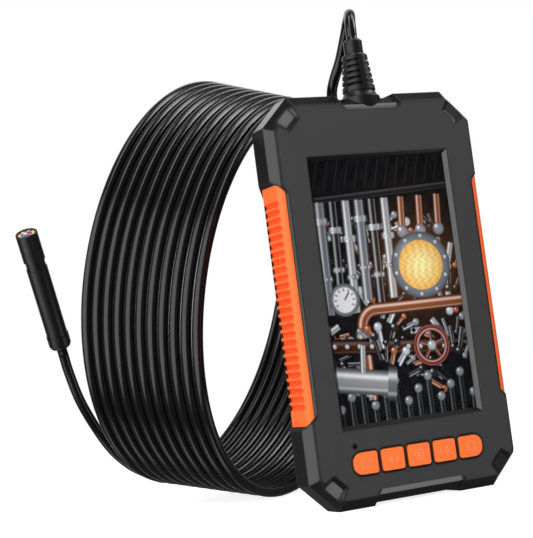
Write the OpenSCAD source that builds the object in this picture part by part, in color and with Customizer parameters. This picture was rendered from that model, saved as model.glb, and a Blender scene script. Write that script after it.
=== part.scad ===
// Inspection camera: a handset with a screen, a coiled cable and a camera head.
// Millimetres. X is to the right of the screen, Y goes away from the viewer, Z is up.
// The handset stands on z = 0 and is centred on x = 0 and y = 0; the coil stands behind it.

/* [Handset] */
// width over the corner guards
body_w = 86; // [80:1:96]
// height without the cable boot
body_h = 149; // [140:1:165]
// thickness from front face to back face
body_t = 20; // [20:0.5:26]
// length cut off each outline corner
corner_cut = 10.7; // [9.5:0.1:11.5]

/* [Screen] */
// width of the frame left and right of the picture
screen_side = 15.5; // [15:0.5:18]
// height of the frame above the picture
screen_above = 24.3; // [22:0.1:30]
// height of the frame below the picture
screen_below = 29.7; // [29.7:0.1:33]

/* [Buttons] */
// height of the button row
button_h = 7.8; // [7:0.1:8.6]
// width of the frame left and right of the button row
button_side = 16.3; // [16:0.1:19]
// travel of a button
button_travel = 0.8; // [0.4:0.1:0.9]

/* [Grips] */
// length of each grip at its outer face
grip_len = 86; // [70:1:90]
// spacing of the ribs
rib_pitch = 2.9; // [2.4:0.1:4]

/* [Cable] */
// outside diameter of the cable
cable_d = 4.2; // [3.6:0.1:4.4]
// length of the boot above the case
boot_len = 23; // [20:0.5:28]
// radius of the loop next to the handset
coil_near_r = 80; // [78:0.5:86]
// radius of the loop farthest from the handset
coil_far_r = 86; // [84:0.5:92]

/* [Camera head] */
// diameter of the head's front cap
head_d = 8.8; // [8.2:0.1:11]
// length of the head
head_len = 52; // [48:0.5:60]
// number of lamps round the lens
lamp_count = 8; // [4:1:8]

/* [Hidden] */
$fn = 48;
gap = 0.05;
cut = 1;

// case planes and the insets of its bevelled edges
front_y = -body_t / 2;
back_y = body_t / 2;
rear_t = 6;
split_y = back_y - rear_t;
front_drop = 4.5;
side_in = 2.65;
end_in = 3.8;
corner_in = 3.2;
corner_wall = 4;
back_in = 4;
mid_z = body_h / 2;
diagonal = (body_w / 2 + body_h / 2 - corner_cut) / sqrt(2);
front_wall = 2.6;
inner_y = front_y + front_wall;
inner_x = body_w / 2 - 6;
waist_x = inner_x + 2;
inner_top = body_h - end_in;
rear_inner_y = back_y - 2;
rear_margin = 5.5;
// shallow recess in the back face
panel_x = 24;
panel_z = 40;
panel_depth = 0.5;
// pockets in the front face at the outline corners: reach inwards, half width at the inner end, angle at
// which the sides open, widths of the sloped inner and side walls, depth of the floor and its fall
pocket_reach = 4.6;
pocket_half = 3.4;
pocket_open = 14;
pocket_wall = [1.7, 1];
pocket_depth = 1.1;
pocket_fall = 0.13;

// grips
grip_mid_z = mid_z;
grip_half = grip_len / 2;
grip_x = body_w / 2 - 1.2;
rib_depth = 0.9;
scallop_r = 1;
scallop_y = front_y + 3.1;
nose_y = front_y + 0.9;
rib_count = floor((grip_len - 9) / rib_pitch);

// screen stack, from the window backwards
bevel = 1.5;
glass_t = 1;
glass_y = inner_y - glass_t;
panel_t = 1.8;
air_gap = 0.15;
gasket_t = 0.8;
tray_y = inner_y + gasket_t;
tray_back_y = front_y + 7;
panel_border = 2.5;
glass_border = 3.5;
tray_border = 5.5;
screen_w = body_w - 2 * screen_side;
screen_h = body_h - screen_above - screen_below;
screen_z = screen_below + screen_h / 2;
tray_bottom = screen_below - tray_border;
flex_t = 0.3;

// boards
board_t = 1.2;
board_y = front_y + 8.8;
board_back_y = board_y + board_t;
board_x = inner_x - 0.5;
board_bottom = 27;
board_top = body_h - 21;
wing_top = body_h - 5.5;
post_x = inner_x - 1.6;
post_r = 1.4;
// shield can on the back of the main board
can = [20, 2.6, 18];
can_wall = 0.3;
can_edge = 2;
can_x = 2.5 - board_x;
// chips on the back of the main board; each: centre x, centre z, width, height
chip_t = 1.2;
chips = [[9, board_top - 13, 14, 14], [board_x - 12.5, board_top - 14, 10, 8],
    [can_x + can[0] + 7, board_top - 15, 8, 6], [board_x - 7.5, board_bottom + 4, 5, 5]];
screw_r = 0.7;
screw_head_r = 1.4;
board_screw_end = board_y - 4;
main_post_z = [32, body_h - 27];
button_row_w = body_w - 2 * button_side;
key_post_x = button_row_w / 2 - 6.7;
key_post_z = [8.4, 22.3];
key_board_x = button_row_w / 2 + 2.3;
key_board_z = [6.8, 23.6];

// buttons: a row of five caps, round at the ends of the row
button_z = 15.95;
button_gap = 1.7;
slot_gap = 0.25;
cap_corner = 1;
cap_front_y = front_y - 0.5;
flange_y = inner_y + gap;
flange_back_y = inner_y + 1.2;
flange_half = 4.8;
end_cap_w = button_h * 0.5 + 5.8;
mid_cap_w = (button_row_w - 2 * end_cap_w - 4 * button_gap) / 3;
button_x = [for (i = [-2 : 2]) sign(i) * (abs(i) < 2
    ? abs(i) * (mid_cap_w + button_gap)
    : 1.5 * mid_cap_w + 2 * button_gap + end_cap_w / 2)];
stem_r = 1.2;
stem_in = 0.6;
switch_side = 6;
switch_y = board_y - 3.4;
indicator = [1.45 - button_row_w / 2, 22.2];
indicator_r = 0.7;

// case screws and their bosses
boss_x = inner_x - 3.5;
boss_z = [16, body_h - 13];
boss_r = 3;
case_screw_r = 1.1;
case_head_r = 2.2;
case_head_y = back_y - 2.4;
case_screw_end = split_y - 7;
case_socket_r = 0.9;
seal_t = 0.8;
// battery and the pads that stick it to the rear shell
battery_x = board_x - 11.5;
battery_z = [board_bottom + 7, board_top - 24];
pad_t = 0.6;
pad_x = 14;
pad_half = 5;

// top edge: boot notch, port cover and what lies under it
boot_y = front_y + 8;
top_flat = body_w / 2 - corner_cut;
boot_notch = [0.743 * top_flat, 1.5];
boot_seat = body_h - boot_notch[1];
boot_top = boot_seat + boot_len;
boot_neck_r = 4;
// boot: radii of bell, taper, collar and core, and heights above its seat
bell_r = 7.4;
bell_in = 1.5;
taper_r = [6.2, 4.75];
taper_z = [3.2, boot_len - 5.8];
collar_r = 3.55;
spine_r = 3.1;
spine_half = 0.95;
skirt = 4;
slot_w = 1.1;
slots = 5;
slot_edge = 2;
flange_t = 2.4;
flange_r = 5.3;
port_x = [boot_notch[0] / 2 + 1.4, top_flat - 2.7];
clamp_t = 1.6;
clamp_top = inner_top - flange_t;
clamp_bottom = clamp_top - clamp_t;
clamp_boss_r = 2.4;
clamp_x = port_x[0] - clamp_boss_r;
clamp_half = [clamp_x + 2.45, 4];
clamp_screw_r = 0.9;
clamp_head_r = 1.8;
clamp_screw_end = inner_top + 0.8;
core_end = clamp_bottom - 1.7;
plug_y = board_back_y + 1.7;
plug_top = board_top + 5.5;
header_top = board_top + 1.2;
header_bottom = header_top - 6.2;
port_floor = body_h - 1.9;
port_front = front_y + 5;
pin_y = split_y - 1;
pin_z = body_h - 0.9;
pin_r = 0.5;
cover_t = 1.6;
port_mid_x = (port_x[0] + port_x[1]) / 2;
wing_x = port_x[1] - 0.1;
wing_in = port_mid_x - 6.5;
usb = [9, 3.2, 7.7];
usb_y = board_y - 1.1;
card = [10.9, 0.7, 13.1];
card_wall = 1;
card_z = body_h - 17.1;
card_y = board_back_y + 0.4;
base_notch = [36, 1.2];
// steep strip at the front of the notches: start above the bevelled edge, height and depth
notch_strip = [2.3, 2, 1.2];
notch_corner = 1.6;

// camera head: place of the cable end of the head, and the way it points
head_at = [-95, 101.5, 73];
head_tilt = 30;
head_turn = -124.5;
head_r = head_d / 2;
neck_r = head_r - 0.5;
barrel_r = head_r - 0.15;
ferrule_r = head_r + 0.15;
bore_r = head_r - 0.75;
window_r = head_r - 0.45;
barrel_wall = 0.8;
ferrule_l = 5.8;
socket_l = 2.8;
cap_l = 12;
neck_l = 3.5;
neck_z = head_len - cap_l - neck_l;
cap_z = head_len - cap_l;
spigot_l = 2.5;
groove_z = cap_z + 0.9;
groove_l = 0.9;
groove_d = 0.4;
sensor_z = cap_z + spigot_l;
lens_z = sensor_z + 1.6;
lens_r = 2.2;
window_t = 0.6;
window_z = head_len - window_t - 0.1;
lamp = [0.9, 1, 0.5];
lamp_board_t = 0.6;
lamp_board_z = window_z - air_gap - lamp[2] - lamp_board_t;
wire_r = 0.9;

// coil: loops side by side, each leaning towards the handset
loops = 11;
coil_start = 10;
coil_sweep = 360 * loops + coil_start + 90;
coil_turn = [-52, -51.5];
coil_lean = [13.7, 15];
coil_rise = 10;
coil_near = [0.7, 71, coil_near_r * cos(coil_lean[0]) + cable_d / 2];
coil_far = [-27.4, 119.6, coil_far_r * cos(coil_lean[1]) + cable_d / 2 + coil_rise];
loop_rings = 24;

// points that the cable passes through, from the boot to the coil
lead_route = [[0, boot_y, boot_top + 1.5], [0.9, boot_y + 1.4, boot_top + 6.9],
    [3.2, boot_y + 5, boot_top + 10.9], [5.7, boot_y + 10, boot_top + 12.3],
    [7.4, boot_y + 15, boot_top + 10.9], [7.9, boot_y + 19, boot_top + 6.9],
    [7.7, boot_y + 25, boot_top - 1], [6.7, boot_y + 34, boot_top - 13], [20, 50, 150], [42, 69, 144],
    [57, 88, 131], [63.3, 104, 118]];
// points from the coil to the camera head
tail_route = [[-54.4, 130.5, 14.8], [-63.5, 126, 19.9], [-71.9, 121.6, 27.3], [-79.5, 116, 37.2],
    [-86.6, 111.4, 49.8]];

// shape helpers

// side view of the front shell: flat front, bevel, straight side
function front_profile(half, front_in) = [[-half + front_in, front_y], [half - front_in, front_y],
    [half, front_y + front_drop], [half, split_y], [-half, split_y], [-half, front_y + front_drop]];

// side view of the rear shell, which tapers to the back
function rear_profile(half) = [[-half, split_y], [half, split_y], [half - back_in, back_y],
    [-half + back_in, back_y]];

// bar along Z with the profile given in X and Y
module bar_z(profile, length) {
    linear_extrude(length, center = true) polygon(profile);
}

// bar along X with the profile given in Z and Y
module bar_x(profile, length) {
    rotate([0, -90, 0]) linear_extrude(length, center = true) polygon(profile);
}

// plate in the XZ plane from y0 to y1
module plate(y0, y1) {
    translate([0, y1, 0]) rotate([90, 0, 0]) linear_extrude(y1 - y0) children();
}

// block between two opposite corners
module block(low, high) {
    translate(low) cube(high - low);
}

// rod along Y
module rod_y(x, z, y0, y1, r) {
    translate([x, y1, z]) rotate([90, 0, 0]) cylinder(r = r, h = y1 - y0);
}

// eight-sided slab: a block with its four corners cut
module octagon_slab(half_w, z0, z1, half_diagonal, y0, y1) {
    intersection() {
        block([-half_w, y0, z0], [half_w, y1, z1]);
        translate([0, (y0 + y1) / 2, mid_z]) rotate([0, 45, 0])
            cube([2 * half_diagonal, y1 - y0, 2 * half_diagonal], center = true);
    }
}

// rod along X
module rod_x(y, z, x0, x1, r) {
    translate([x0, y, z]) rotate([0, 90, 0]) cylinder(r = r, h = x1 - x0);
}

// rounded bar seen from the front: two round ends and a straight middle
module stadium(length, height) {
    square([length - height, height], center = true);
    for (s = [-1, 1]) translate([s * (length - height) / 2, 0]) circle(d = height);
}

module both_sides() {
    children();
    mirror([1, 0, 0]) children();
}

// eight-sided form from the side views across its width, its height and its corners
module eight_sided(across, along, corner) {
    translate([0, 0, mid_z]) intersection() {
        bar_z(across, body_h);
        bar_x(along, body_w);
        rotate([0, 45, 0]) bar_z(corner, 2 * body_h);
        rotate([0, 45, 0]) bar_x(corner, 2 * body_h);
    }
}

module front_form() {
    eight_sided(front_profile(body_w / 2, side_in), front_profile(body_h / 2, end_in),
        front_profile(diagonal, corner_in));
}

module rear_form() {
    eight_sided(rear_profile(body_w / 2), rear_profile(body_h / 2), rear_profile(diagonal));
}

// wedge-ended side zone of one grip, seen from the front
module grip_zone() {
    inner = waist_x - cut;
    slope = body_w / 2 + cut - inner;
    plate(front_y - cut, back_y + cut) polygon([[inner, grip_mid_z - grip_half + grip_x - inner],
        [inner + slope, grip_mid_z - grip_half + grip_x - inner - slope],
        [inner + slope, grip_mid_z + grip_half - grip_x + inner + slope],
        [inner, grip_mid_z + grip_half - grip_x + inner]]);
}

// side of the front shell that a grip covers
module front_waist() {
    outer = body_w / 2 + cut;
    intersection() {
        grip_zone();
        translate([0, 0, mid_z]) bar_z([[waist_x - cut, front_y - cut], [waist_x - cut, front_y],
            [waist_x, front_y + 0.8], [waist_x, split_y + cut], [outer, split_y + cut],
            [outer, front_y - cut]], body_h);
    }
}

// side of the rear shell, drawn in to meet the back of a grip
module rear_waist() {
    outer = body_w / 2 + 2 * cut;
    slope = back_in / (back_y - split_y) * cut;
    intersection() {
        grip_zone();
        translate([0, 0, mid_z]) bar_z([[grip_x + slope, split_y - cut],
            [grip_x - back_in - slope, back_y + cut], [outer, back_y + cut], [outer, split_y - cut]], body_h);
    }
}

// side view of the floor of a notch, from front to back: distance from the end of the case, and depth
function notch_floor(drop) = [[end_in + notch_strip[0], front_y],
    [end_in + notch_strip[0] - notch_strip[1], front_y + notch_strip[2]], [drop, front_y + front_drop],
    [drop, split_y], [back_in + drop, back_y]];

// recess across the bottom of the case, with cut corners; drop is the depth
module end_notch(width, drop) {
    deep = end_in + notch_strip[0];
    intersection() {
        bar_x(concat([[-cut, front_y - cut], [deep, front_y - cut]], notch_floor(drop),
            [[back_in + drop, back_y + cut], [-cut, back_y + cut]]), width);
        plate(front_y - 2 * cut, back_y + 2 * cut) polygon([[-width / 2, -2 * cut], [width / 2, -2 * cut],
            [width / 2, deep - notch_corner], [width / 2 - notch_corner, deep],
            [notch_corner - width / 2, deep], [-width / 2, deep - notch_corner]]);
    }
}

// the case under the boot's notch
module boot_floor() {
    translate([0, 0, body_h]) mirror([0, 0, 1])
        bar_x(concat(notch_floor(boot_notch[1]), [[boot_len, back_y], [boot_len, front_y]]), boot_notch[0]);
}

// notches at the bottom and, for the boot, at the top
module end_notches() {
    end_notch(base_notch[0], base_notch[1]);
    translate([0, 0, body_h]) mirror([0, 0, 1]) end_notch(boot_notch[0], boot_notch[1]);
}

// side of a pocket: everything up to a sloped wall on the side s
module pocket_side(s) {
    deep = 3;
    slope = pocket_wall[1] / pocket_depth;
    rotate([0, -s * pocket_open, 0]) bar_x([[-s * corner_cut, front_y - cut],
        [s * (pocket_half + slope * cut), front_y - cut], [s * (pocket_half - slope * deep), front_y + deep],
        [-s * corner_cut, front_y + deep]], 4 * corner_cut);
}

// pocket in the front face beside the upper right outline corner: the floor falls outwards
module corner_pocket() {
    middle = [body_w / 2 - corner_cut / 2, 0, body_h - corner_cut / 2];
    inside = -corner_in - pocket_reach;
    slope = pocket_wall[0] / pocket_depth;
    outer = cut - inside;
    translate(middle) rotate([0, -45, 0]) translate([inside, 0, 0]) intersection() {
        bar_z([[-slope * cut, front_y - cut], [pocket_wall[0], front_y + pocket_depth],
            [outer, front_y + pocket_depth + pocket_fall * (outer - pocket_wall[0])], [outer, front_y - cut]],
            4 * corner_cut);
        pocket_side(1);
        pocket_side(-1);
    }
}

module corner_pockets() {
    both_sides() {
        corner_pocket();
        translate([0, 0, body_h]) mirror([0, 0, 1]) corner_pocket();
    }
}

// bevelled screen opening with the seat of the window behind it
module screen_opening() {
    w = screen_w / 2 + 0.2;
    h = screen_h / 2 + 0.2;
    slope = bevel / (glass_y - front_y);
    function side_view(half) = [[-half - bevel - slope, front_y - cut], [half + bevel + slope, front_y - cut],
        [half, glass_y], [half, inner_y + cut], [-half, inner_y + cut], [-half, glass_y]];
    translate([0, 0, screen_z]) {
        intersection() {
            bar_z(side_view(w), 2 * body_h);
            bar_x(side_view(h), 2 * body_w);
        }
        screen_slab(glass_border, glass_y, inner_y + cut);
    }
}

// slab centred on the screen that is larger than the picture by the border on each side
module screen_slab(border, y0, y1) {
    block([-screen_w / 2 - border, y0, -screen_h / 2 - border],
        [screen_w / 2 + border, y1, screen_h / 2 + border]);
}

// openings in the top wall for the port cover, charging socket and memory card
module port_openings() {
    block([port_x[0], port_front, port_floor], [port_x[1], split_y + cut, body_h + cut]);
    rod_x(pin_y, pin_z, port_x[0] - 1, port_x[1] + 1, pin_r);
    translate([port_mid_x, usb_y, inner_top - cut]) linear_extrude(2 * cut + port_floor - inner_top)
        stadium(usb[0] + 0.6, usb[1] + 0.6);
    block([port_mid_x - card[0] / 2 - 0.4, card_y - 0.4, inner_top - cut],
        [port_mid_x + card[0] / 2 + 0.4, card_y + card[1] + 0.4, port_floor + cut]);
}

// ring between the two shells
module seal_ring(y0, y1) {
    difference() {
        octagon_slab(inner_x + 1.5, end_in - 1.4, inner_top + 1.4, diagonal - 2.4, y0, y1);
        octagon_slab(inner_x + 0.5, end_in - 0.4, inner_top + 0.4, diagonal - 3.4, y0 - cut, y1 + cut);
    }
}

// one rod at each case screw
module at_case_screws(y0, y1, r) {
    both_sides() for (z = boss_z) rod_y(boss_x, z, y0, y1, r);
}

// one rod at each board screw
module at_board_screws(y0, y1, r) {
    both_sides() {
        for (z = main_post_z) rod_y(post_x, z, y0, y1, r);
        for (z = key_post_z) rod_y(key_post_x, z, y0, y1, r);
    }
}

// one upright rod at each clamp screw
module at_clamp_screws(z0, z1, r) {
    both_sides() translate([clamp_x, boot_y, z0]) cylinder(r = r, h = z1 - z0);
}

// handset pieces

module front_shell() {
    color("#434343") difference() {
        union() {
            difference() {
                front_form();
                both_sides() front_waist();
                end_notches();
                octagon_slab(inner_x, end_in, inner_top, diagonal - corner_wall, inner_y, split_y + cut);
            }
            at_case_screws(inner_y - 0.5, split_y, boss_r);
            at_board_screws(inner_y - 0.5, board_y, post_r);
            at_clamp_screws(clamp_top, inner_top + 0.5, clamp_boss_r);
        }
        screen_opening();
        plate(front_y - cut, inner_y + cut) for (i = [0 : 4]) cap_face(i, slot_gap);
        rod_y(indicator[0], indicator[1], front_y - cut, inner_y + cut, indicator_r);
        corner_pockets();
        seal_ring(split_y - seal_t, split_y + cut);
        translate([0, boot_y, inner_top - cut])
            cylinder(r = boot_neck_r, h = 2 * cut + boot_seat - inner_top);
        port_openings();
        at_case_screws(case_screw_end, split_y + cut, case_screw_r);
        at_board_screws(board_screw_end, board_y + cut, screw_r);
        at_clamp_screws(clamp_top - cut, clamp_screw_end, clamp_screw_r);
    }
}

module rear_shell() {
    color("#383838") difference() {
        union() {
            difference() {
                rear_form();
                both_sides() rear_waist();
                end_notches();
                octagon_slab(inner_x, rear_margin, body_h - rear_margin, diagonal - 4.5, split_y - cut,
                    rear_inner_y);
            }
            at_case_screws(split_y, rear_inner_y + 0.5, boss_r);
        }
        at_case_screws(split_y - cut, back_y + cut, case_screw_r);
        at_case_screws(case_head_y, back_y + cut, case_head_r + 0.2);
        block([-panel_x, back_y - panel_depth, panel_z], [panel_x, back_y + cut, body_h - panel_z]);
    }
}

module case_seal() {
    color("#202020") seal_ring(split_y - seal_t, split_y);
}

// section of the right grip: a round nose in front of a straight side
module grip_section() {
    nose_r = grip_x - waist_x;
    translate([waist_x, nose_y + nose_r]) square([nose_r, split_y - nose_y - nose_r]);
    intersection() {
        translate([waist_x, nose_y + nose_r]) circle(nose_r);
        translate([waist_x, nose_y]) square(nose_r);
    }
}

// round groove across a grip, tapered at its front end
module scallop(z) {
    axis_x = grip_x + scallop_r - rib_depth;
    rod_y(axis_x, z, scallop_y, split_y + cut, scallop_r);
    translate([axis_x, scallop_y, z]) rotate([90, 0, 0])
        cylinder(r1 = scallop_r, r2 = scallop_r / 2, h = scallop_r);
}

// one ribbed grip on the right side
module grip() {
    first = grip_mid_z - (rib_count - 1) / 2 * rib_pitch;
    color("#ff7033") difference() {
        intersection() {
            grip_zone();
            translate([0, 0, mid_z]) linear_extrude(body_h, center = true) grip_section();
        }
        for (i = [0 : rib_count - 1]) scallop(first + i * rib_pitch);
    }
}

module left_grip() {
    mirror([1, 0, 0]) grip();
}

module right_grip() {
    grip();
}

module screen_window() {
    color("#8899a0", 0.3) translate([0, 0, screen_z]) screen_slab(glass_border, glass_y, inner_y);
}

module display_gasket() {
    color("#151515") translate([0, 0, screen_z]) difference() {
        screen_slab(tray_border, inner_y, tray_y);
        screen_slab(panel_border + 0.1, inner_y - cut, tray_y + cut);
    }
}

module lcd_panel() {
    color("#203040") translate([0, 0, screen_z])
        screen_slab(panel_border, inner_y + air_gap, inner_y + panel_t);
}

module lcd_tray() {
    color("#b8bcc0") translate([0, 0, screen_z]) difference() {
        screen_slab(tray_border, tray_y, tray_back_y);
        screen_slab(panel_border + 0.1, tray_y - cut, inner_y + panel_t);
    }
}

// foam strips between the display and the main board
module display_pads() {
    color("#303030") for (s = [-1, 1]) translate([0, 0, screen_z + s * (screen_h / 2 - 12.5)])
        block([-screen_w / 2, tray_back_y, -2.5], [screen_w / 2, board_y, 2.5]);
}

// flexible tail from the lower edge of the display round to the back of the main board
module display_flex() {
    low = tray_bottom - 0.45;
    color("#b87333") bar_x([[tray_bottom, front_y + 4.8], [low, front_y + 4.8], [low, board_back_y + flex_t],
        [board_bottom + 4, board_back_y + flex_t], [board_bottom + 4, board_back_y],
        [low + flex_t, board_back_y], [low + flex_t, front_y + 5.1], [tray_bottom, front_y + 5.1]], 16);
}

// button caps, each with a lip behind the front wall
function cap_w(i) = abs(i - 2) == 2 ? end_cap_w : mid_cap_w;

// face of a button cap, grown by that much on each side
module cap_face(i, grow) {
    w = cap_w(i) / 2 + grow;
    h = button_h / 2 + grow;
    left = i == 0 ? h - 0.5 : cap_corner + grow;
    right = i == 4 ? h - 0.5 : cap_corner + grow;
    translate([button_x[i], button_z]) {
        polygon([[-w, h - left], [-w, left - h], [left - w, -h], [w - right, -h], [w, right - h],
            [w, h - right], [w - right, h], [left - w, h]]);
        for (s = [-1, 1]) {
            translate([left - w, s * (h - left)]) circle(left);
            translate([w - right, s * (h - right)]) circle(right);
        }
    }
}

module button_cap(i) {
    w = cap_w(i);
    color("#ff7033") {
        plate(cap_front_y, flange_y) cap_face(i, 0);
        block([button_x[i] - w / 2 + 0.3, flange_y, button_z - flange_half],
            [button_x[i] + w / 2 - 0.3, flange_back_y, button_z + flange_half]);
    }
}

// switch stem that the cap pushes
module button_stem(i) {
    color("#202020") rod_y(button_x[i], button_z, flange_back_y, switch_y + stem_in, stem_r);
}

module key_switches() {
    side = switch_side / 2;
    color("#c0c0c0") for (x = button_x) difference() {
        block([x - side, switch_y, button_z - side], [x + side, board_y, button_z + side]);
        rod_y(x, button_z, switch_y - cut, switch_y + stem_in + button_travel + 0.2, stem_r + 0.1);
    }
}

module key_board() {
    color("#1f6b3a") difference() {
        block([-key_board_x, board_y, key_board_z[0]], [key_board_x, board_back_y, key_board_z[1]]);
        at_board_screws(board_y - cut, board_back_y + cut, screw_r);
    }
}

module main_board() {
    color("#1f6b3a") difference() {
        plate(board_y, board_back_y) polygon([[-board_x, board_bottom], [board_x, board_bottom],
            [board_x, board_top - 1], [wing_x, board_top + 3], [wing_x, wing_top], [wing_in, wing_top],
            [wing_in, board_top], [-board_x, board_top]]);
        at_board_screws(board_y - cut, board_back_y + cut, screw_r);
        block([port_mid_x - usb[0] / 2, board_y - cut, inner_top - 0.1 - usb[2]],
            [port_mid_x + usb[0] / 2, board_back_y + cut, body_h]);
    }
}

// processor, memory, storage and power chips on the back of the main board
module board_chips() {
    color("#181818") for (c = chips) translate([c[0], 0, c[1]])
        block([-c[2] / 2, board_back_y, -c[3] / 2], [c[2] / 2, board_back_y + chip_t, c[3] / 2]);
}

module shield_can() {
    color("#b0b4b8") translate([can_x, board_back_y, board_top - can[2] - can_edge]) difference() {
        cube(can);
        translate([can_wall, -cut, can_wall]) cube(can - [2 * can_wall, can_wall - cut, 2 * can_wall]);
    }
}

module battery_pack() {
    color("#3a6ea5") block([-battery_x, board_back_y + 1.9, battery_z[0]],
        [battery_x, rear_inner_y - pad_t, battery_z[1]]);
}

module battery_pads() {
    color("#e8e8e0") for (s = [-1, 1]) translate([s * pad_x, 0, 0])
        block([-pad_half, rear_inner_y - pad_t, battery_z[0] + pad_half],
            [pad_half, rear_inner_y, battery_z[1] - pad_half]);
}

module usb_socket() {
    bottom = inner_top - 0.1 - usb[2];
    color("#b0b4b8") {
        translate([port_mid_x, usb_y, bottom]) {
            difference() {
                linear_extrude(usb[2]) stadium(usb[0], usb[1]);
                translate([0, 0, 1]) linear_extrude(usb[2]) stadium(usb[0] - 0.6, usb[1] - 0.6);
            }
            translate([-3.3, -0.35, 0.5]) cube([6.6, 0.7, usb[2] - 1.5]);
        }
        for (s = [-1, 1]) translate([port_mid_x + s * (usb[0] / 2 + 0.1), 0, bottom])
            block([-0.6, board_y - 0.5, 1.5], [0.6, board_y, 4.5]);
    }
}

module card_socket() {
    color("#b0b4b8") translate([port_mid_x, 0, 0]) difference() {
        block([-card[0] / 2 - card_wall, board_back_y, card_z - 0.6],
            [card[0] / 2 + card_wall, card_y + card[1] + 0.4, card_z + card[2] - 0.4]);
        block([-card[0] / 2 - gap, card_y - gap, card_z - 0.1],
            [card[0] / 2 + gap, card_y + card[1] + gap, card_z + card[2] + cut]);
    }
}

module memory_card() {
    color("#181818") translate([port_mid_x, 0, 0])
        block([-card[0] / 2, card_y, card_z], [card[0] / 2, card_y + card[1], card_z + card[2]]);
}

// rubber cover that swings on the pin along its rear edge
module port_cover() {
    color("#202020") difference() {
        union() {
            block([port_x[0] + 0.15, port_front + 0.2, pin_z - cover_t / 2],
                [port_x[1] - 0.15, pin_y, pin_z + cover_t / 2]);
            rod_x(pin_y, pin_z, port_x[0] + 0.15, port_x[1] - 0.15, cover_t / 2);
        }
        rod_x(pin_y, pin_z, port_x[0] - cut, port_x[1] + cut, pin_r + gap);
    }
}

module cover_pin() {
    color("#c0c4c8") rod_x(pin_y, pin_z, port_x[0] - 1, port_x[1] + 1, pin_r);
}

module indicator_lens() {
    color("#e8e8e8") {
        rod_y(indicator[0], indicator[1], front_y, inner_y, indicator_r);
        rod_y(indicator[0], indicator[1], inner_y, inner_y + 1, indicator_r + 0.6);
    }
}

module indicator_lamp() {
    color("#f0e8c0") translate([indicator[0], 0, indicator[1]])
        block([-0.8, board_y - 0.8, -0.5], [0.8, board_y, 0.5]);
}

module case_screws() {
    color("#303030") {
        at_case_screws(case_screw_end, case_head_y, case_screw_r);
        difference() {
            at_case_screws(case_head_y, case_head_y + 1.7, case_head_r);
            at_case_screws(case_head_y + 0.8, back_y, case_socket_r);
        }
    }
}

module board_screws() {
    color("#c0c4c8") {
        at_board_screws(board_screw_end, board_back_y, screw_r);
        at_board_screws(board_back_y, board_back_y + 0.9, screw_head_r);
    }
}

// rubber boot: inner flange and neck in the top wall, bell base that follows the notch, slotted taper, collar
module cable_boot() {
    slot_pitch = (taper_z[1] - taper_z[0] - 2 * slot_edge - slot_w) / (slots - 1);
    core_r = cable_d / 2;
    color("#2d2d2d") difference() {
        union() {
            translate([0, boot_y, 0]) rotate_extrude() polygon([[core_r, clamp_top], [flange_r, clamp_top],
                [flange_r, inner_top], [boot_neck_r, inner_top], [boot_neck_r, boot_seat + 1],
                [core_r, boot_seat + 1]]);
            difference() {
                translate([0, boot_y, boot_seat]) rotate_extrude() polygon([[core_r, -skirt],
                    [bell_r, -skirt], [bell_r, 0.8], [bell_r - bell_in / 2, 1.4],
                    [bell_r - bell_in, taper_z[0] - 0.4],
                    [bell_r - bell_in, taper_z[0]], [taper_r[0], taper_z[0] + 0.2],
                    [taper_r[1], taper_z[1] - 0.5], [taper_r[1] - 0.4, taper_z[1]],
                    [collar_r, taper_z[1] + 0.3], [collar_r, boot_len - 0.7], [collar_r - 0.6, boot_len],
                    [core_r, boot_len]]);
                boot_floor();
            }
        }
        for (i = [0 : slots - 1]) translate([0, boot_y, boot_seat + taper_z[0] + slot_edge + i * slot_pitch])
            both_sides() difference() {
                block([spine_half, -bell_r, 0], [bell_r, bell_r, slot_w]);
                translate([0, 0, -cut]) cylinder(r = spine_r, h = slot_w + 2 * cut);
            }
    }
}

// plate that holds the boot's flange against the top wall
module boot_clamp() {
    color("#b0b4b8") difference() {
        block([-clamp_half[0], boot_y - clamp_half[1], clamp_bottom],
            [clamp_half[0], boot_y + clamp_half[1], clamp_top]);
        translate([0, boot_y, clamp_bottom - cut]) cylinder(d = cable_d, h = clamp_t + 2 * cut);
        block([-cable_d / 2, boot_y, clamp_bottom - cut], [cable_d / 2, boot_y + 5, clamp_top + cut]);
        at_clamp_screws(clamp_bottom - cut, clamp_top + cut, clamp_screw_r);
    }
}

module clamp_screws() {
    color("#c0c4c8") {
        at_clamp_screws(clamp_bottom, clamp_screw_end, clamp_screw_r);
        at_clamp_screws(clamp_bottom - 1, clamp_bottom, clamp_head_r);
    }
}

// end of the cable in the boot, and its conductors down to the plug
module inner_cable() {
    slant = atan2(plug_y - boot_y, core_end - plug_top);
    color("#181818") {
        translate([0, boot_y, core_end]) cylinder(d = cable_d, h = boot_top - core_end);
        intersection() {
            translate([0, boot_y, core_end]) rotate([180 + slant, 0, 0]) translate([0, 0, -4])
                cylinder(r = 1.1, h = 20);
            block([-5, front_y, plug_top], [5, back_y, core_end]);
        }
    }
}

module cable_plug() {
    color("#e8e4d8") {
        block([-5, plug_y - 1.3, header_top], [5, plug_y + 1.3, plug_top]);
        block([-4.4, plug_y - 0.8, header_top - 3], [4.4, plug_y + 0.8, header_top]);
    }
}

module cable_header() {
    color("#e8e4d8") difference() {
        block([-6, board_back_y, header_bottom], [6, board_back_y + 3.4, header_top]);
        block([-4.4, plug_y - 0.8, header_top - 3], [4.4, plug_y + 0.8, header_top + cut]);
    }
}

// cable

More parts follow.
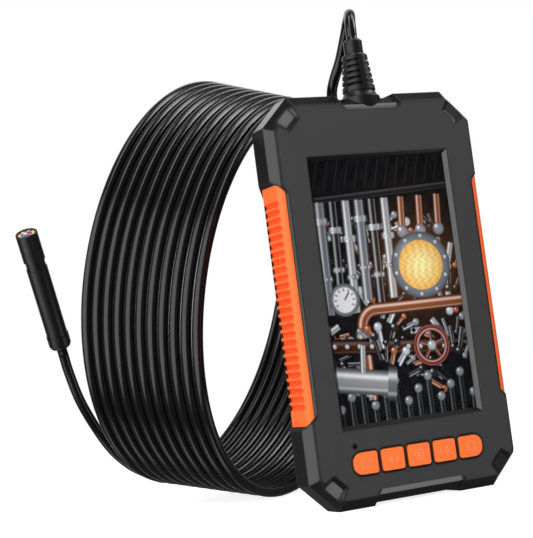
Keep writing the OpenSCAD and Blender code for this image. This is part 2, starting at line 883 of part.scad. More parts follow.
// centre line of the coil at the angle a from its start: circles whose centre, radius, turn and lean
// change evenly from the handset's end to the far end
function coil_point(a) = let (
        t = a / coil_sweep,
        centre = coil_near + t * (coil_far - coil_near),
        r = coil_near_r + t * (coil_far_r - coil_near_r),
        turn = coil_turn[0] + t * (coil_turn[1] - coil_turn[0]),
        lean = coil_lean[0] + t * (coil_lean[1] - coil_lean[0]),
        across = [-sin(turn), cos(turn), 0],
        up = [sin(lean) * cos(turn), sin(lean) * sin(turn), cos(lean)],
        b = coil_start - a)
    centre + r * (cos(b) * across + sin(b) * up);

function unit(v) = v / norm(v);
function coil_way(a) = unit(coil_point(a + 0.5) - coil_point(a - 0.5));

// smooth curve through the points: steps pieces between each two of them
function smooth(p, steps) = [for (i = [1 : len(p) - 3], s = [0 : steps - 1]) let (t = s / steps)
    0.5 * (2 * p[i] + t * (p[i + 1] - p[i - 1]) + t * t * (2 * p[i - 1] - 5 * p[i] + 4 * p[i + 1] - p[i + 2])
        + t * t * t * (3 * p[i] - p[i - 1] - 3 * p[i + 1] + p[i + 2]))];

// direction of the line at each point
function ways(p) = [for (i = [0 : len(p) - 1]) unit(p[min(i + 1, len(p) - 1)] - p[max(i - 1, 0)])];

// side direction at each point, carried along the line without twisting
function carried(way, i = 0, side = [0.6, 0.5, 0.62]) = i == len(way) ? []
    : let (square_to = unit(side - (side * way[i]) * way[i]))
        concat([square_to], carried(way, i + 1, square_to));

// tube round a line of points
module tube(p, n) {
    way = ways(p);
    side = carried(way);
    rings = [for (i = [0 : len(p) - 1], k = [0 : n - 1])
        p[i] + cable_d / 2 * (cos(360 * k / n) * side[i] + sin(360 * k / n) * cross(way[i], side[i]))];
    walls = [for (i = [0 : len(p) - 2], k = [0 : n - 1], upper = [0, 1]) let (
            a = i * n + k, b = i * n + (k + 1) % n)
        upper == 0 ? [a, a + n, b] : [b, a + n, b + n]];
    first = [for (k = [0 : n - 1]) k];
    last = [for (k = [n - 1 : -1 : 0]) (len(p) - 1) * n + k];
    polyhedron(rings, concat(walls, [first, last]));
}

coil_in = coil_point(0) - cable_d * coil_way(0);
coil_out = coil_point(coil_sweep) + cable_d * coil_way(coil_sweep);
coil_line = concat([coil_in], [for (i = [0 : ceil(coil_sweep / 360 * loop_rings)])
    coil_point(i * coil_sweep / ceil(coil_sweep / 360 * loop_rings))], [coil_out]);
lead_start = [0, boot_y, boot_top];
lead_line = concat([lead_start], smooth(concat([lead_start], lead_route,
    [coil_in - cable_d * coil_way(0), coil_in]), 5), [coil_in - cable_d * coil_way(0), coil_in]);
head_way = [sin(head_tilt) * cos(head_turn), sin(head_tilt) * sin(head_turn), cos(head_tilt)];
tail_line = concat([coil_out], smooth(concat([coil_out, coil_out + cable_d * coil_way(coil_sweep)],
    tail_route, [head_at - 3 * cable_d * head_way, head_at - cable_d * head_way, head_at]), 5),
    [head_at - cable_d * head_way, head_at]);

// length of a line of points
function line_length(p) = let (steps = [for (i = [1 : len(p) - 1]) norm(p[i] - p[i - 1])])
    steps * [for (s = steps) 1];

// least room between neighbouring loops, measured on the points of the line
coil_room = min([for (i = [0 : len(coil_line) - 1 - loop_rings - 4], k = [loop_rings - 4 : loop_rings + 4])
    norm(coil_line[i] - coil_line[i + k])]) - cable_d;
echo(coil_room = coil_room, lead = line_length(lead_line), coil = line_length(coil_line),
    tail = line_length(tail_line));

module cable_lead() {
    color("#181818") tube(lead_line, 10);
}

module cable_coil() {
    color("#181818") tube(coil_line, 6);
}

module cable_tail() {
    color("#181818") tube(tail_line, 10);
}

// camera head; its pieces are drawn along Z from the cable end and then set in place

module head_place() {
    translate(head_at) rotate([0, head_tilt, head_turn]) children();
}

// ring or disc along the head's axis
module head_ring(z0, z1, r_out, r_in) {
    head_place() difference() {
        translate([0, 0, z0]) cylinder(r = r_out, h = z1 - z0);
        if (r_in > 0) translate([0, 0, z0 - cut]) cylinder(r = r_in, h = z1 - z0 + 2 * cut);
    }
}

module head_cap() {
    color("#202020") head_place() rotate_extrude() polygon([[bore_r, cap_z], [head_r, cap_z],
        [head_r, head_len - 0.3], [head_r - 0.3, head_len], [window_r, head_len], [window_r, window_z],
        [bore_r, window_z]]);
}

// long sleeve with the accessory neck and the spigot that carries the cap
module head_barrel() {
    color("#242424") head_place() rotate_extrude() polygon([[bore_r - barrel_wall, ferrule_l - socket_l],
        [bore_r, ferrule_l - socket_l], [bore_r, ferrule_l], [barrel_r, ferrule_l], [barrel_r, neck_z],
        [neck_r, neck_z], [neck_r, cap_z], [bore_r, cap_z], [bore_r, groove_z], [bore_r - groove_d, groove_z],
        [bore_r - groove_d, groove_z + groove_l], [bore_r, groove_z + groove_l], [bore_r, sensor_z],
        [bore_r - barrel_wall, sensor_z]]);
}

module head_ferrule() {
    color("#1c1c1c") head_place() rotate_extrude() polygon([[wire_r, 0], [ferrule_r - 1.6, 0],
        [ferrule_r - 0.5, 0.5], [ferrule_r, 1.6],
        [ferrule_r, ferrule_l], [bore_r, ferrule_l], [bore_r, ferrule_l - socket_l],
        [wire_r, ferrule_l - socket_l]]);
}

module head_seal() {
    color("#101010") head_ring(groove_z, groove_z + groove_l, bore_r, bore_r - groove_d);
}

module head_window() {
    color("#a0b0c0", 0.4) head_ring(window_z, window_z + window_t, window_r, 0);
}

module lens_barrel() {
    color("#101010") head_ring(lens_z, window_z - air_gap, lens_r, 0);
}

module image_sensor() {
    color("#283848") head_place() translate([-1.4, -1.4, sensor_z + 0.8]) cube([2.8, 2.8, 0.8]);
}

module sensor_board() {
    color("#1f6b3a") head_ring(sensor_z, sensor_z + 0.8, bore_r, 0);
}

module lamp_board() {
    color("#f0f0e8") head_ring(lamp_board_z, lamp_board_z + lamp_board_t, bore_r, lens_r);
}

module head_lamps() {
    color("#fff0b0") head_place() for (i = [0 : lamp_count - 1]) rotate([0, 0, i * 360 / lamp_count])
        translate([lens_r + 0.3, -lamp[1] / 2, lamp_board_z + lamp_board_t]) cube(lamp);
}

module head_wires() {
    color("#b87333") head_ring(0, sensor_z, wire_r, 0);
}

front_shell();
rear_shell();
case_seal();
left_grip();
right_grip();
screen_window();
display_gasket();
lcd_panel();
lcd_tray();
display_pads();
display_flex();
button_cap(0);  // picture_button
button_cap(1);  // left_button
button_cap(2);  // ok_button
button_cap(3);  // right_button
button_cap(4);  // home_button
button_stem(0);  // picture_stem
button_stem(1);  // left_stem
button_stem(2);  // ok_stem
button_stem(3);  // right_stem
button_stem(4);  // home_stem
key_switches();
key_board();
main_board();
board_chips();
shield_can();
battery_pack();
battery_pads();
usb_socket();
card_socket();
memory_card();
port_cover();
cover_pin();
indicator_lens();
indicator_lamp();
case_screws();
board_screws();
cable_boot();
boot_clamp();
clamp_screws();
inner_cable();
cable_plug();
cable_header();
cable_lead();
cable_coil();
cable_tail();
head_cap();
head_barrel();
head_ferrule();
head_seal();
head_window();
lens_barrel();
image_sensor();
sensor_board();
lamp_board();
head_lamps();
head_wires();
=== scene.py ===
"""Looks of an inspection camera: its cable, finishes, lit screen and studio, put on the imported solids."""

import math

import bpy
import numpy as np
from mathutils import Matrix, Vector


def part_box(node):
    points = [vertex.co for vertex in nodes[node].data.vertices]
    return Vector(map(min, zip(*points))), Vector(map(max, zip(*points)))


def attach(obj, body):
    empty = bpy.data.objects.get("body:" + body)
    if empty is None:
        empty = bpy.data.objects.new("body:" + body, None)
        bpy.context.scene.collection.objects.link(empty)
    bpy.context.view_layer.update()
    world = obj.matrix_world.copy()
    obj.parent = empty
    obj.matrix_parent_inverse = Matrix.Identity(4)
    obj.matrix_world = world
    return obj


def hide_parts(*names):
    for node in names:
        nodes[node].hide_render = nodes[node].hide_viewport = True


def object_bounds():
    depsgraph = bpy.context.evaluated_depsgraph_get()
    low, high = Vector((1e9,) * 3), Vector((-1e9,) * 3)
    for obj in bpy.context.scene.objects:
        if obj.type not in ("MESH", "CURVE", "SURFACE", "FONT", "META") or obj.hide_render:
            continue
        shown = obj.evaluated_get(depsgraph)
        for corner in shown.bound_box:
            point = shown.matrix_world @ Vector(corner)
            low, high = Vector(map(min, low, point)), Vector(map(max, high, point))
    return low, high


bl_info = {
    "name": "Inspection camera",
    "version": (1, 0, 0),
    "blender": (4, 5, 0),
    "location": "3D View > Sidebar > Inspection camera",
    "description": "Dresses the solids of an inspection camera with its cable, finishes and studio",
    "category": "Object",
}

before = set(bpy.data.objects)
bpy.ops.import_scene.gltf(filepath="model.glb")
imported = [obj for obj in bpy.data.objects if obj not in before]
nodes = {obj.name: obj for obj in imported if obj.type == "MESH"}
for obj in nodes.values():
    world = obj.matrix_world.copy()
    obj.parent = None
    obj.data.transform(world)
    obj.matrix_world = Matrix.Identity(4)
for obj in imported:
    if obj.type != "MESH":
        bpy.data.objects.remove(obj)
cad_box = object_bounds()
MM = 0.001

# groups of solids that share a finish
SHELLS = ["front_shell", "rear_shell"]
GRIPS = ["left_grip", "right_grip"]
KEYS = ["picture", "left", "ok", "right", "home"]
RUBBERS = ["case_seal", "display_gasket", "port_cover", "cable_boot", "head_seal"]
STEELS = ["lcd_tray", "shield_can", "usb_socket", "card_socket", "boot_clamp", "board_screws", "clamp_screws",
          "cover_pin"]
FOAMS = ["display_pads", "battery_pads"]
BOARDS = ["key_board", "main_board", "sensor_board"]
BLACK_MOULDINGS = ["board_chips", "memory_card"] + [key + "_stem" for key in KEYS]
PALE_MOULDINGS = ["key_switches", "cable_plug", "cable_header", "lamp_board"]
HEAD_SLEEVES = ["head_cap", "head_barrel", "head_ferrule"]

# course of the cable in millimetres: from the boot to the coil, the coil, and from the coil to the head
BOOT_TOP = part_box("cable_boot")[1].z / MM
BOOT_Y = (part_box("cable_boot")[0].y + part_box("cable_boot")[1].y) / 2 / MM
# the loop above the boot is measured from the middle of the boot's top
BOOT_LOOP = [(0, 0, 1.5), (0.9, 1.4, 6.9), (3.2, 5, 10.9), (5.7, 10, 12.3), (7.4, 15, 10.9), (7.9, 19, 6.9),
             (7.7, 25, -1), (6.7, 34, -13)]
LEAD = [(x, BOOT_Y + y, BOOT_TOP + z) for x, y, z in BOOT_LOOP]
LEAD += [(20, 50, 150), (42, 69, 144), (57, 88, 131), (63.3, 104, 118)]
LOOPS, COIL_START, COIL_RISE = 11, 10, 10
COIL_SWEEP = 360 * LOOPS + COIL_START + 90
COIL_R, COIL_TURN, COIL_LEAN = (80, 86), (-52, -51.5), (13.7, 15)
COIL_MIDDLE = ((0.7, 71), (-27.4, 119.6))
TAIL = [(-54.4, 130.5, 14.8), (-63.5, 126, 19.9), (-71.9, 121.6, 27.3), (-79.5, 116, 37.2),
        (-86.6, 111.4, 49.8)]
HEAD_AT, HEAD_TILT, HEAD_TURN = (-95, 101.5, 73), 30, -124.5
# points on the curve from each of these places to the next
CURVE_STEPS = 10

# places on the case where light or shade is painted, in millimetres: depth of the pocket floors, where the
# right pockets begin, middle and half width of the bevel right of the screen, and the height under which a
# bevel that looks up is the one below the screen
POCKET_DEPTH = (0.5, 1)
RIGHT_POCKETS = (26, 28)
SCREEN_BEVEL = (28.5, 3)
BELOW_SCREEN = 60

# painted reflections on the lens, which glow: colour, place to the right and up, radius; and its depth behind
# the window
PAINTED_LENS_REFLECTIONS = [("#ffffff", -0.8, 0.8, 1.1), ("#2a4fd0", -0.9, -1.2, 1.3), ("#d01f6a", 1.2, -0.4, 1.4)]
LENS_BACK = 0.6

# raised lines of the signs on the buttons, in millimetres, and the faces round them
SIGN_WIDTH, SIGN_HEIGHT, SIGN_SIDES = 0.34, 0.1, 10

# studio: distance of the lamps and half the floor's side in metres, points along that side, direction of the
# middle of the white backdrop, and width of the camera's sensor in millimetres
LAMP_DISTANCE = 0.8
FLOOR_HALF, FLOOR_POINTS = 3, 13
BACKDROP = (0.25, 0.9, 0.36)
SENSOR_WIDTH = 36.0

# lamps that only show as streaks in the glossy black pieces: name, width and height, direction
STREAK_LAMPS = [("upper", (0.2, 0.7), (-0.25, -0.32, 0.96)), ("low", (0.5, 0.5), (0.6, -0.52, -0.6)),
                ("under", (0.4, 0.4), (-0.22, 0.25, -0.94)), ("inner", (0.28, 0.28), (0.75, -0.3, 0.6))]


def linear(code):
    """Linear red, green, blue and alpha of an sRGB hex value."""
    srgb = np.array([int(code[i:i + 2], 16) for i in (1, 3, 5)]) / 255
    return (*np.where(srgb <= 0.04045, srgb / 12.92, ((srgb + 0.055) / 1.055) ** 2.4).tolist(), 1.0)


# sizes and colours that a user would change


def colour_setting(name, description, code):
    """Colour that a user may change; code is its sRGB hex value."""
    return bpy.props.FloatVectorProperty(
        name=name, description=description, subtype="COLOR", size=4, default=linear(code))


def lamp_setting(name, description, watts):
    """Power of a lamp that a user may change."""
    return bpy.props.FloatProperty(name=name, description=description, default=watts, unit="POWER")


class CableSettings(bpy.types.PropertyGroup):
    """Sizes of the cable."""

    diameter: bpy.props.FloatProperty(
        name="Diameter", description="Outside diameter of the jacket", default=0.0042, unit="LENGTH")
    length: bpy.props.FloatProperty(
        name="Length", description="Length from the boot to the camera head", default=6.15, unit="LENGTH")
    sides: bpy.props.IntProperty(name="Sides", description="Faces round the cable", default=18, min=6)
    loop_rings: bpy.props.IntProperty(name="Rings", description="Rings in one loop of the coil", default=150)


class ColourSettings(bpy.types.PropertyGroup):
    """Colours of the handset and cable."""

    shell: colour_setting("Shell", "Moulded case", "#363636")
    # painted shade: the bevel tone is darker than the shell, in place of the shade on bevels, sides and right
    # pockets
    bevel: colour_setting("Bevel", "Bevels and sides of the case", "#0f0f0f")
    # painted light: the floor tone is paler than the shell, in place of the light that the pocket floors
    # catch
    floor: colour_setting("Pocket", "Floors of the pockets in the case", "#5c5c5c")
    # painted light: the strip tone is paler than the shell, in place of the light on the notch's strip
    strip: colour_setting("Strip", "Strip of the notch at the bottom of the case", "#707070")
    orange: colour_setting("Orange", "Buttons", "#ff7736")
    grip: colour_setting("Grip", "Ribs and front of the grips", "#ff6a2a")
    # painted shade: the groove tone is darker than the grip, in place of the shade in the grooves
    groove_shade: colour_setting("Groove", "Floor of the grooves in the grips", "#ff4f1a")
    rubber: colour_setting("Rubber", "Boot, cover and seals", "#101010")
    jacket: colour_setting("Jacket", "Cable jacket", "#080808")


class PictureSettings(bpy.types.PropertyGroup):
    """Picture on the screen."""

    step: bpy.props.FloatProperty(
        name="Step", description="Size of one dot of the picture", default=0.00028, unit="LENGTH")
    glow: bpy.props.FloatProperty(name="Glow", description="Strength of the backlight", default=1.0)


class StudioSettings(bpy.types.PropertyGroup):
    """Camera and lamps."""

    camera_at: bpy.props.FloatVectorProperty(
        name="Camera", description="Place of the camera", default=(-0.256, -0.4598, 0.0533), unit="LENGTH")
    yaw: bpy.props.FloatProperty(
        name="Yaw", description="Turn of the view to the right", default=math.radians(24.56), unit="ROTATION")
    pitch: bpy.props.FloatProperty(
        name="Pitch", description="Tilt of the view upwards", default=math.radians(4.0), unit="ROTATION")
    roll: bpy.props.FloatProperty(
        name="Roll", description="Roll of the camera", default=math.radians(-7.36), unit="ROTATION")
    lens: bpy.props.FloatProperty(name="Lens", description="Focal length", default=95.07, unit="CAMERA")
    ambient: bpy.props.FloatProperty(name="Ambient", description="Light from all round", default=0.35)
    side: lamp_setting("Side", "Large lamp at the left", 14.6)
    front: lamp_setting("Front", "Lamp beside the camera", 3.4)
    upper: lamp_setting("Upper", "Lamp above the handset", 1.8)
    top: lamp_setting("Top", "Lamp above at the right", 0.7)
    low: lamp_setting("Low", "Weak lamp at the lower right", 0.9)
    under: lamp_setting("Under", "Weak lamp below the coil", 0.5)
    inner: lamp_setting("Inner", "Lamp seen inside the coil", 2)


# materials


def set_inputs(tree, node, inputs):
    """Set the inputs of a shader node to values, or link them to sockets or to the first output of nodes."""
    for name, value in inputs.items():
        source = value.outputs[0] if isinstance(value, bpy.types.Node) else value
        if isinstance(source, bpy.types.NodeSocket):
            tree.links.new(source, node.inputs[name])
        else:
            node.inputs[name].default_value = source


def add(tree, kind, inputs=None, **settings):
    """Add one shader node, set its settings, and set or link its inputs."""
    made = tree.nodes.new("ShaderNode" + kind)
    for name, value in settings.items():
        setattr(made, name, value)
    set_inputs(tree, made, inputs or {})
    return made


def finish(name, inputs):
    """New material with one principled shader; inputs are its constant sockets."""
    material = bpy.data.materials.new(name)
    material.use_nodes = True
    tree = material.node_tree
    shader = tree.nodes["Principled BSDF"]
    set_inputs(tree, shader, inputs)
    return material, tree, shader


def mottled(tree, shader, colour, spread, patch_mm):
    """Vary a colour by a share of itself in soft patches of that size, and link it to the shader."""
    place = add(tree, "TexCoord").outputs["Object"]
    patch = add(tree, "TexNoise", {"Vector": place, "Scale": 1 / (patch_mm * MM), "Detail": 3.0})
    dark = tuple(c * (1 - spread) for c in colour[:3]) + (1.0,)
    pale = tuple(min(1.0, c * (1 + spread)) for c in colour[:3]) + (1.0,)
    tone = add(tree, "MixRGB", {"Fac": patch, "Color1": dark, "Color2": pale})
    set_inputs(tree, shader, {"Base Color": tone})
    return place, tone


def grained(tree, shader, place, grain_mm, depth_mm, edge_mm, rough):
    """Fine grain as bump and uneven gloss, over edges that are rounded by that radius; gives the gloss."""
    grain = add(tree, "TexNoise", {"Vector": place, "Scale": 1 / (grain_mm * MM), "Detail": 2.0})
    edge = add(tree, "Bevel", {"Radius": edge_mm * MM}, samples=6)
    bump = add(tree, "Bump", {"Height": grain, "Distance": depth_mm * MM, "Strength": 0.6, "Normal": edge})
    gloss = add(tree, "MapRange", {"Value": grain, "To Min": rough[0], "To Max": rough[1]})
    set_inputs(tree, shader, {"Roughness": gloss, "Normal": bump})
    return gloss


def moulded_abs(name, colour, specular=0.3):
    """Moulded ABS with a spark-eroded grain: matt, with a fine speckle and soft highlights on its edges."""
    material, tree, shader = finish(name, {"IOR": 1.53, "Specular IOR Level": specular})
    place, _ = mottled(tree, shader, colour, 0.05, 9)
    # the real grain of about 0.1 mm is drawn as 0.5 mm, so that it shows
    grained(tree, shader, place, 0.5, 0.02, 0.4, (0.38, 0.52))
    return material


def abs_with_painted_light_and_shade(name, colour, bevel, floor, strip, front):
    """Moulded ABS whose mould was spark-eroded on the flat faces and polished on the bevels: matt grey faces,
    with painted light as paler floors of the pockets behind the front plane, glossier bevels and sides
    painted darker as shade, and painted shade as a thin dark line along the edges and in recesses."""
    material, tree, shader = finish(name, {"IOR": 1.53, "Specular IOR Level": 0.5})
    place, plain = mottled(tree, shader, colour, 0.05, 9)
    where = add(tree, "SeparateXYZ", {"Vector": place}).outputs
    way = add(tree, "SeparateXYZ", {"Vector": add(tree, "TexCoord").outputs["Normal"]}).outputs
    flat = add(tree, "Math", {0: way["Y"]}, operation="ABSOLUTE")
    # faces and the strips of the notches look up to 31 degrees away from Y, bevels and pocket walls further
    face = add(tree, "MapRange", {"Value": flat, "From Min": 0.844, "From Max": 0.854})
    beside = right_of_screen(tree, where, way)
    # painted light: the bevel at the right of the screen gets the plain, paler colour of the faces
    slope = add(tree, "MixRGB", {"Fac": beside, "Color1": bevel, "Color2": plain})
    faces = face_colour(tree, where, way, plain, bevel, floor, strip, front)
    ground = add(tree, "MixRGB", {"Fac": face, "Color1": slope, "Color2": faces})
    # painted shade: dark lines along edges, dark recesses and a dark bevel below the screen
    unshaded = clear_of_lines(tree, where, way, beside)
    shade = add(tree, "MixRGB", {"Fac": 1.0, "Color1": ground, "Color2": unshaded}, blend_type="MULTIPLY")
    # the real grain of about 0.1 mm is drawn as 0.5 mm, so that it shows
    matt = grained(tree, shader, place, 0.5, 0.02, 0.45, (0.46, 0.6))
    gloss = add(tree, "MapRange", {"Value": face, "To Min": 0.18, "To Max": matt})
    # where shade is painted the surface is matt as well as dark
    matt_in_shade = add(tree, "MapRange", {"Value": unshaded, "To Min": 0.85, "To Max": gloss})
    set_inputs(tree, shader, {"Base Color": shade, "Roughness": matt_in_shade})
    return material


def face_colour(tree, where, way, plain, bevel, floor, strip, front):
    """Colour of the flat faces: plain in front; where a face that looks ahead lies behind the front plane,
    the paler floor tone as painted light, or at the right pockets the dark bevel tone as painted shade; where
    it looks down, the paler strip tone as painted light."""
    near, far = (front + depth * MM for depth in POCKET_DEPTH)
    # painted light: faces that look ahead behind the front plane get the paler floor tone
    sunk = add(tree, "MapRange", {"Value": where["Y"], "From Min": near, "From Max": far})
    ahead = add(tree, "Math", {0: way["Y"], 1: -0.5}, operation="LESS_THAN")
    low = add(tree, "Math", {0: sunk, 1: ahead}, operation="MULTIPLY")
    # painted shade: the pockets at the right edge get the dark bevel tone
    start, end = (x * MM for x in RIGHT_POCKETS)
    edge = add(tree, "MapRange", {"Value": where["X"], "From Min": start, "From Max": end})
    pocket = add(tree, "MixRGB", {"Fac": edge, "Color1": floor, "Color2": bevel})
    face = add(tree, "MixRGB", {"Fac": low, "Color1": plain, "Color2": pocket})
    # painted light: the strip of the bottom notch, which looks down, gets the paler strip tone
    down = add(tree, "MapRange", {"Value": way["Z"], "From Min": -0.3, "From Max": -0.45})
    return add(tree, "MixRGB", {"Fac": down, "Color1": face, "Color2": strip})


def right_of_screen(tree, where, way):
    """1 on the bevel at the right of the screen, which looks to the left, and 0 elsewhere."""
    middle, half = (x * MM for x in SCREEN_BEVEL)
    left = add(tree, "MapRange", {"Value": way["X"], "From Min": -0.3, "From Max": -0.5})
    near = add(tree, "Math", {0: where["X"], 1: middle, 2: half}, operation="COMPARE")
    return add(tree, "Math", {0: left, 1: near}, operation="MULTIPLY")


def clear_of_lines(tree, where, way, beside):
    """1 on open faces, nearly 0 where shade is painted: dark lines along edges, recesses and the bevel below
    the screen.
    """
    # bevels that look to the right, and the one at the right of the screen, get no painted shade lines along
    # their edges
    right = add(tree, "MapRange", {"Value": way["X"], "From Min": 0.4, "From Max": 0.6})
    bare = add(tree, "Math", {0: right, 1: beside}, operation="MAXIMUM")
    lined = add(tree, "Math", {0: open_faces(tree, 2.0, 3), 1: bare}, operation="MAXIMUM")
    # painted shade: the bevel below the screen, which looks up, is painted dark and matt
    upward = add(tree, "MapRange", {"Value": way["Z"], "From Min": 0.3, "From Max": 0.5})
    below = add(tree, "Math", {0: where["Z"], 1: BELOW_SCREEN * MM}, operation="LESS_THAN")
    sill = add(tree, "Math", {0: upward, 1: below}, operation="MULTIPLY")
    return add(tree, "Math", {0: lined, 1: sill}, operation="SUBTRACT", use_clamp=True)


def open_faces(tree, edge_mm, recess_mm):
    """1 on open faces, falling to nearly 0 where shade is painted: where the surface turns, in a line about
    0.4 of that distance wide along each edge, and in recesses of that size."""
    true = add(tree, "NewGeometry").outputs["Normal"]
    turned = add(tree, "Bevel", {"Radius": edge_mm * MM}, samples=8)
    same = add(tree, "VectorMath", {0: true, 1: turned}, operation="DOT_PRODUCT").outputs["Value"]
    edge = add(tree, "MapRange", {"Value": same, "From Min": 0.945, "From Max": 0.98, "To Min": 0.05})
    # painted shade in recesses, from ambient occlusion
    hollow = add(tree, "AmbientOcclusion", {"Distance": recess_mm * MM}, samples=8).outputs["AO"]
    depth = add(tree, "MapRange", {"Value": hollow, "From Min": 0.1, "From Max": 0.6, "To Min": 0.1})
    return add(tree, "Math", {0: edge, 1: depth}, operation="MULTIPLY")


def soft_elastomer(name, colour, groove_shade):
    """Thermoplastic elastomer moulded over the case: satin, with painted shade that makes it deeper in colour
    where the ribs are cut.
    """
    material, tree, shader = finish(name, {"IOR": 1.5, "Specular IOR Level": 0.3})
    place, tone = mottled(tree, shader, colour, 0.03, 6)
    across = add(tree, "SeparateXYZ", {"Vector": place}).outputs["X"]
    out = add(tree, "Math", {0: across}, operation="ABSOLUTE")
    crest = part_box("right_grip")[1].x
    depth = add(tree, "MapRange", {"Value": out, "From Min": crest - 0.9 * MM, "From Max": crest - 0.1 * MM})
    # the round nose at the front lies further in than the crests of the ribs, but gets their colour without
    # the painted shade
    facing = add(tree, "SeparateXYZ", {"Vector": add(tree, "TexCoord").outputs["Normal"]}).outputs["Y"]
    nose = add(tree, "MapRange", {"Value": facing, "From Min": -0.25, "From Max": -0.4})
    high = add(tree, "Math", {0: depth, 1: nose}, operation="MAXIMUM")
    shaded_grooves = add(tree, "MixRGB", {"Fac": high, "Color1": groove_shade, "Color2": tone})
    set_inputs(tree, shader, {"Base Color": shaded_grooves})
    grained(tree, shader, place, 0.4, 0.015, 0.3, (0.4, 0.52))
    return material


def black_rubber(name, colour):
    """Moulded silicone rubber: dull, with a faint bloom in patches."""
    material, tree, shader = finish(name, {"IOR": 1.43, "Specular IOR Level": 0.5})
    place, _ = mottled(tree, shader, colour, 0.12, 5)
    grained(tree, shader, place, 0.45, 0.015, 0.35, (0.3, 0.42))
    return material


def extruded_pvc(name, colour):
    """Extruded PVC jacket: softly glossy, with fine drag lines along it and a slightly uneven gloss."""
    material, tree, shader = finish(name, {"IOR": 1.53, "Specular IOR Level": 0.47})
    course = add(tree, "UVMap", uv_map="course")
    # u is metres along the cable and v turns round it: the lines are 60 mm long and 0.5 mm wide
    lines = add(tree, "Mapping", {"Vector": course, "Scale": (16.0, 26.0, 1.0)})
    drag = add(tree, "TexNoise", {"Vector": lines, "Scale": 1.0, "Detail": 2.0})
    tone = add(tree, "MixRGB", {"Fac": drag, "Color1": linear("#040404"), "Color2": colour})
    gloss = add(tree, "MapRange", {"Value": drag, "To Min": 0.18, "To Max": 0.27})
    bump = add(tree, "Bump", {"Height": drag, "Distance": 0.03 * MM, "Strength": 0.08})
    set_inputs(tree, shader, {"Base Color": tone, "Roughness": gloss, "Normal": bump})
    return material


def coated_glass(name):
    """Cover glass with an anti-reflection coating: clear, with a thin even sheen and a faint smear."""
    # the coating takes most of the reflection away, so the index is far below that of bare glass
    clear = {"Base Color": (1, 1, 1, 1), "Transmission Weight": 1.0, "IOR": 1.12}
    material, tree, shader = finish(name, clear)
    place = add(tree, "TexCoord").outputs["Object"]
    smear = add(tree, "TexNoise", {"Vector": place, "Scale": 1 / (20 * MM), "Detail": 2.0})
    gloss = add(tree, "MapRange", {"Value": smear, "To Min": 0.0, "To Max": 0.03})
    set_inputs(tree, shader, {"Roughness": gloss})
    return material


def lit_panel(name, glow):
    """Liquid crystal panel: it shines in the colours of the picture, which the dots carry."""
    dark = {"Base Color": linear("#050505"), "Roughness": 0.5, "Specular IOR Level": 0.0}
    material, tree, shader = finish(name, dark)
    dots = add(tree, "Attribute", attribute_name="picture")
    set_inputs(tree, shader, {"Emission Color": dots, "Emission Strength": glow})
    return material


def rolled_metal(name, colour, rough=0.3):
    """Rolled sheet or drawn wire: bright metal, with lines about 0.3 mm apart along it."""
    material, tree, shader = finish(name, {"Metallic": 1.0})
    place, _ = mottled(tree, shader, colour, 0.08, 4)
    rolled = add(tree, "Mapping", {"Vector": place, "Scale": (1.0, 1.0, 0.03)})
    lines = add(tree, "TexNoise", {"Vector": rolled, "Scale": 1 / (0.3 * MM)})
    gloss = add(tree, "MapRange", {"Value": lines, "To Min": rough - 0.08, "To Max": rough + 0.12})
    set_inputs(tree, shader, {"Roughness": gloss})
    return material


def anodised_sleeve(name, colour):
    """Black coated metal sleeve: smooth satin with a fine grain about 0.25 mm wide."""
    material, tree, shader = finish(name, {"IOR": 1.5, "Specular IOR Level": 0.4})
    place, _ = mottled(tree, shader, colour, 0.15, 3)
    grained(tree, shader, place, 0.25, 0.006, 0.15, (0.26, 0.36))
    return material


def circuit_board(name):
    """Glass-fibre board under green solder resist: glossy, with copper tracks that show as paler lines."""
    material, tree, shader = finish(name, {"IOR": 1.5, "Roughness": 0.3})
    place = add(tree, "TexCoord").outputs["Object"]
    tracks = add(tree, "TexBrick", {"Vector": place, "Color1": linear("#12522c"), "Color2": linear("#185f35"),
                                    "Mortar": linear("#2f8a52"), "Scale": 1 / (6 * MM), "Mortar Size": 0.03})
    set_inputs(tree, shader, {"Base Color": tracks})
    return material


def patterned(name, colour, spread, patch_mm, rough, **sockets):
    """Plain moulding, film or foam: one colour in soft patches with an even gloss."""
    inputs = {"Roughness": rough}
    inputs.update({key.replace("_", " "): value for key, value in sockets.items()})
    material, tree, shader = finish(name, inputs)
    mottled(tree, shader, linear(colour), spread, patch_mm)
    return material


def lamp_phosphor(name):
    """White lamp chip under yellow phosphor: pale yellow in soft patches, with a faint glow."""
    material, tree, shader = finish(name, {"Roughness": 0.35, "Emission Strength": 0.25})
    _, tone = mottled(tree, shader, linear("#f2d96a"), 0.25, 0.8)
    set_inputs(tree, shader, {"Emission Color": tone})
    return material


def coated_lens(name, front, way, reflection_spots):
    """Small lens behind its window: black with painted reflections, soft coloured spots as a coating of thin
    layers gives, which glow.

    Each spot is a colour, its place to the right and up on the front, and its radius, in millimetres.
    """
    # painted reflections: the spots glow, so they show under any light
    material, tree, shader = finish(name, {"Roughness": 0.4, "Emission Strength": 0.8})
    place = add(tree, "TexCoord").outputs["Object"]
    across = Vector((0, 0, 1)).cross(way).normalized()
    tone = linear("#08070c")
    for colour, right, up, radius in reflection_spots:
        middle = front + MM * (right * across + up * way.cross(across))
        scale = 1 / (radius * MM)
        moved = add(tree, "Mapping", {"Vector": place, "Location": -scale * middle, "Scale": [scale] * 3})
        ball = add(tree, "TexGradient", {"Vector": moved}, gradient_type="SPHERICAL").outputs["Fac"]
        tone = add(tree, "MixRGB", {"Fac": ball, "Color1": tone, "Color2": linear(colour)})
    set_inputs(tree, shader, {"Base Color": tone, "Emission Color": tone})
    return material


def dress(names, material):
    """Give one material to each of the named solids."""
    for name in names:
        mesh = nodes[name].data
        mesh.materials.clear()
        mesh.materials.append(material)


# shapes


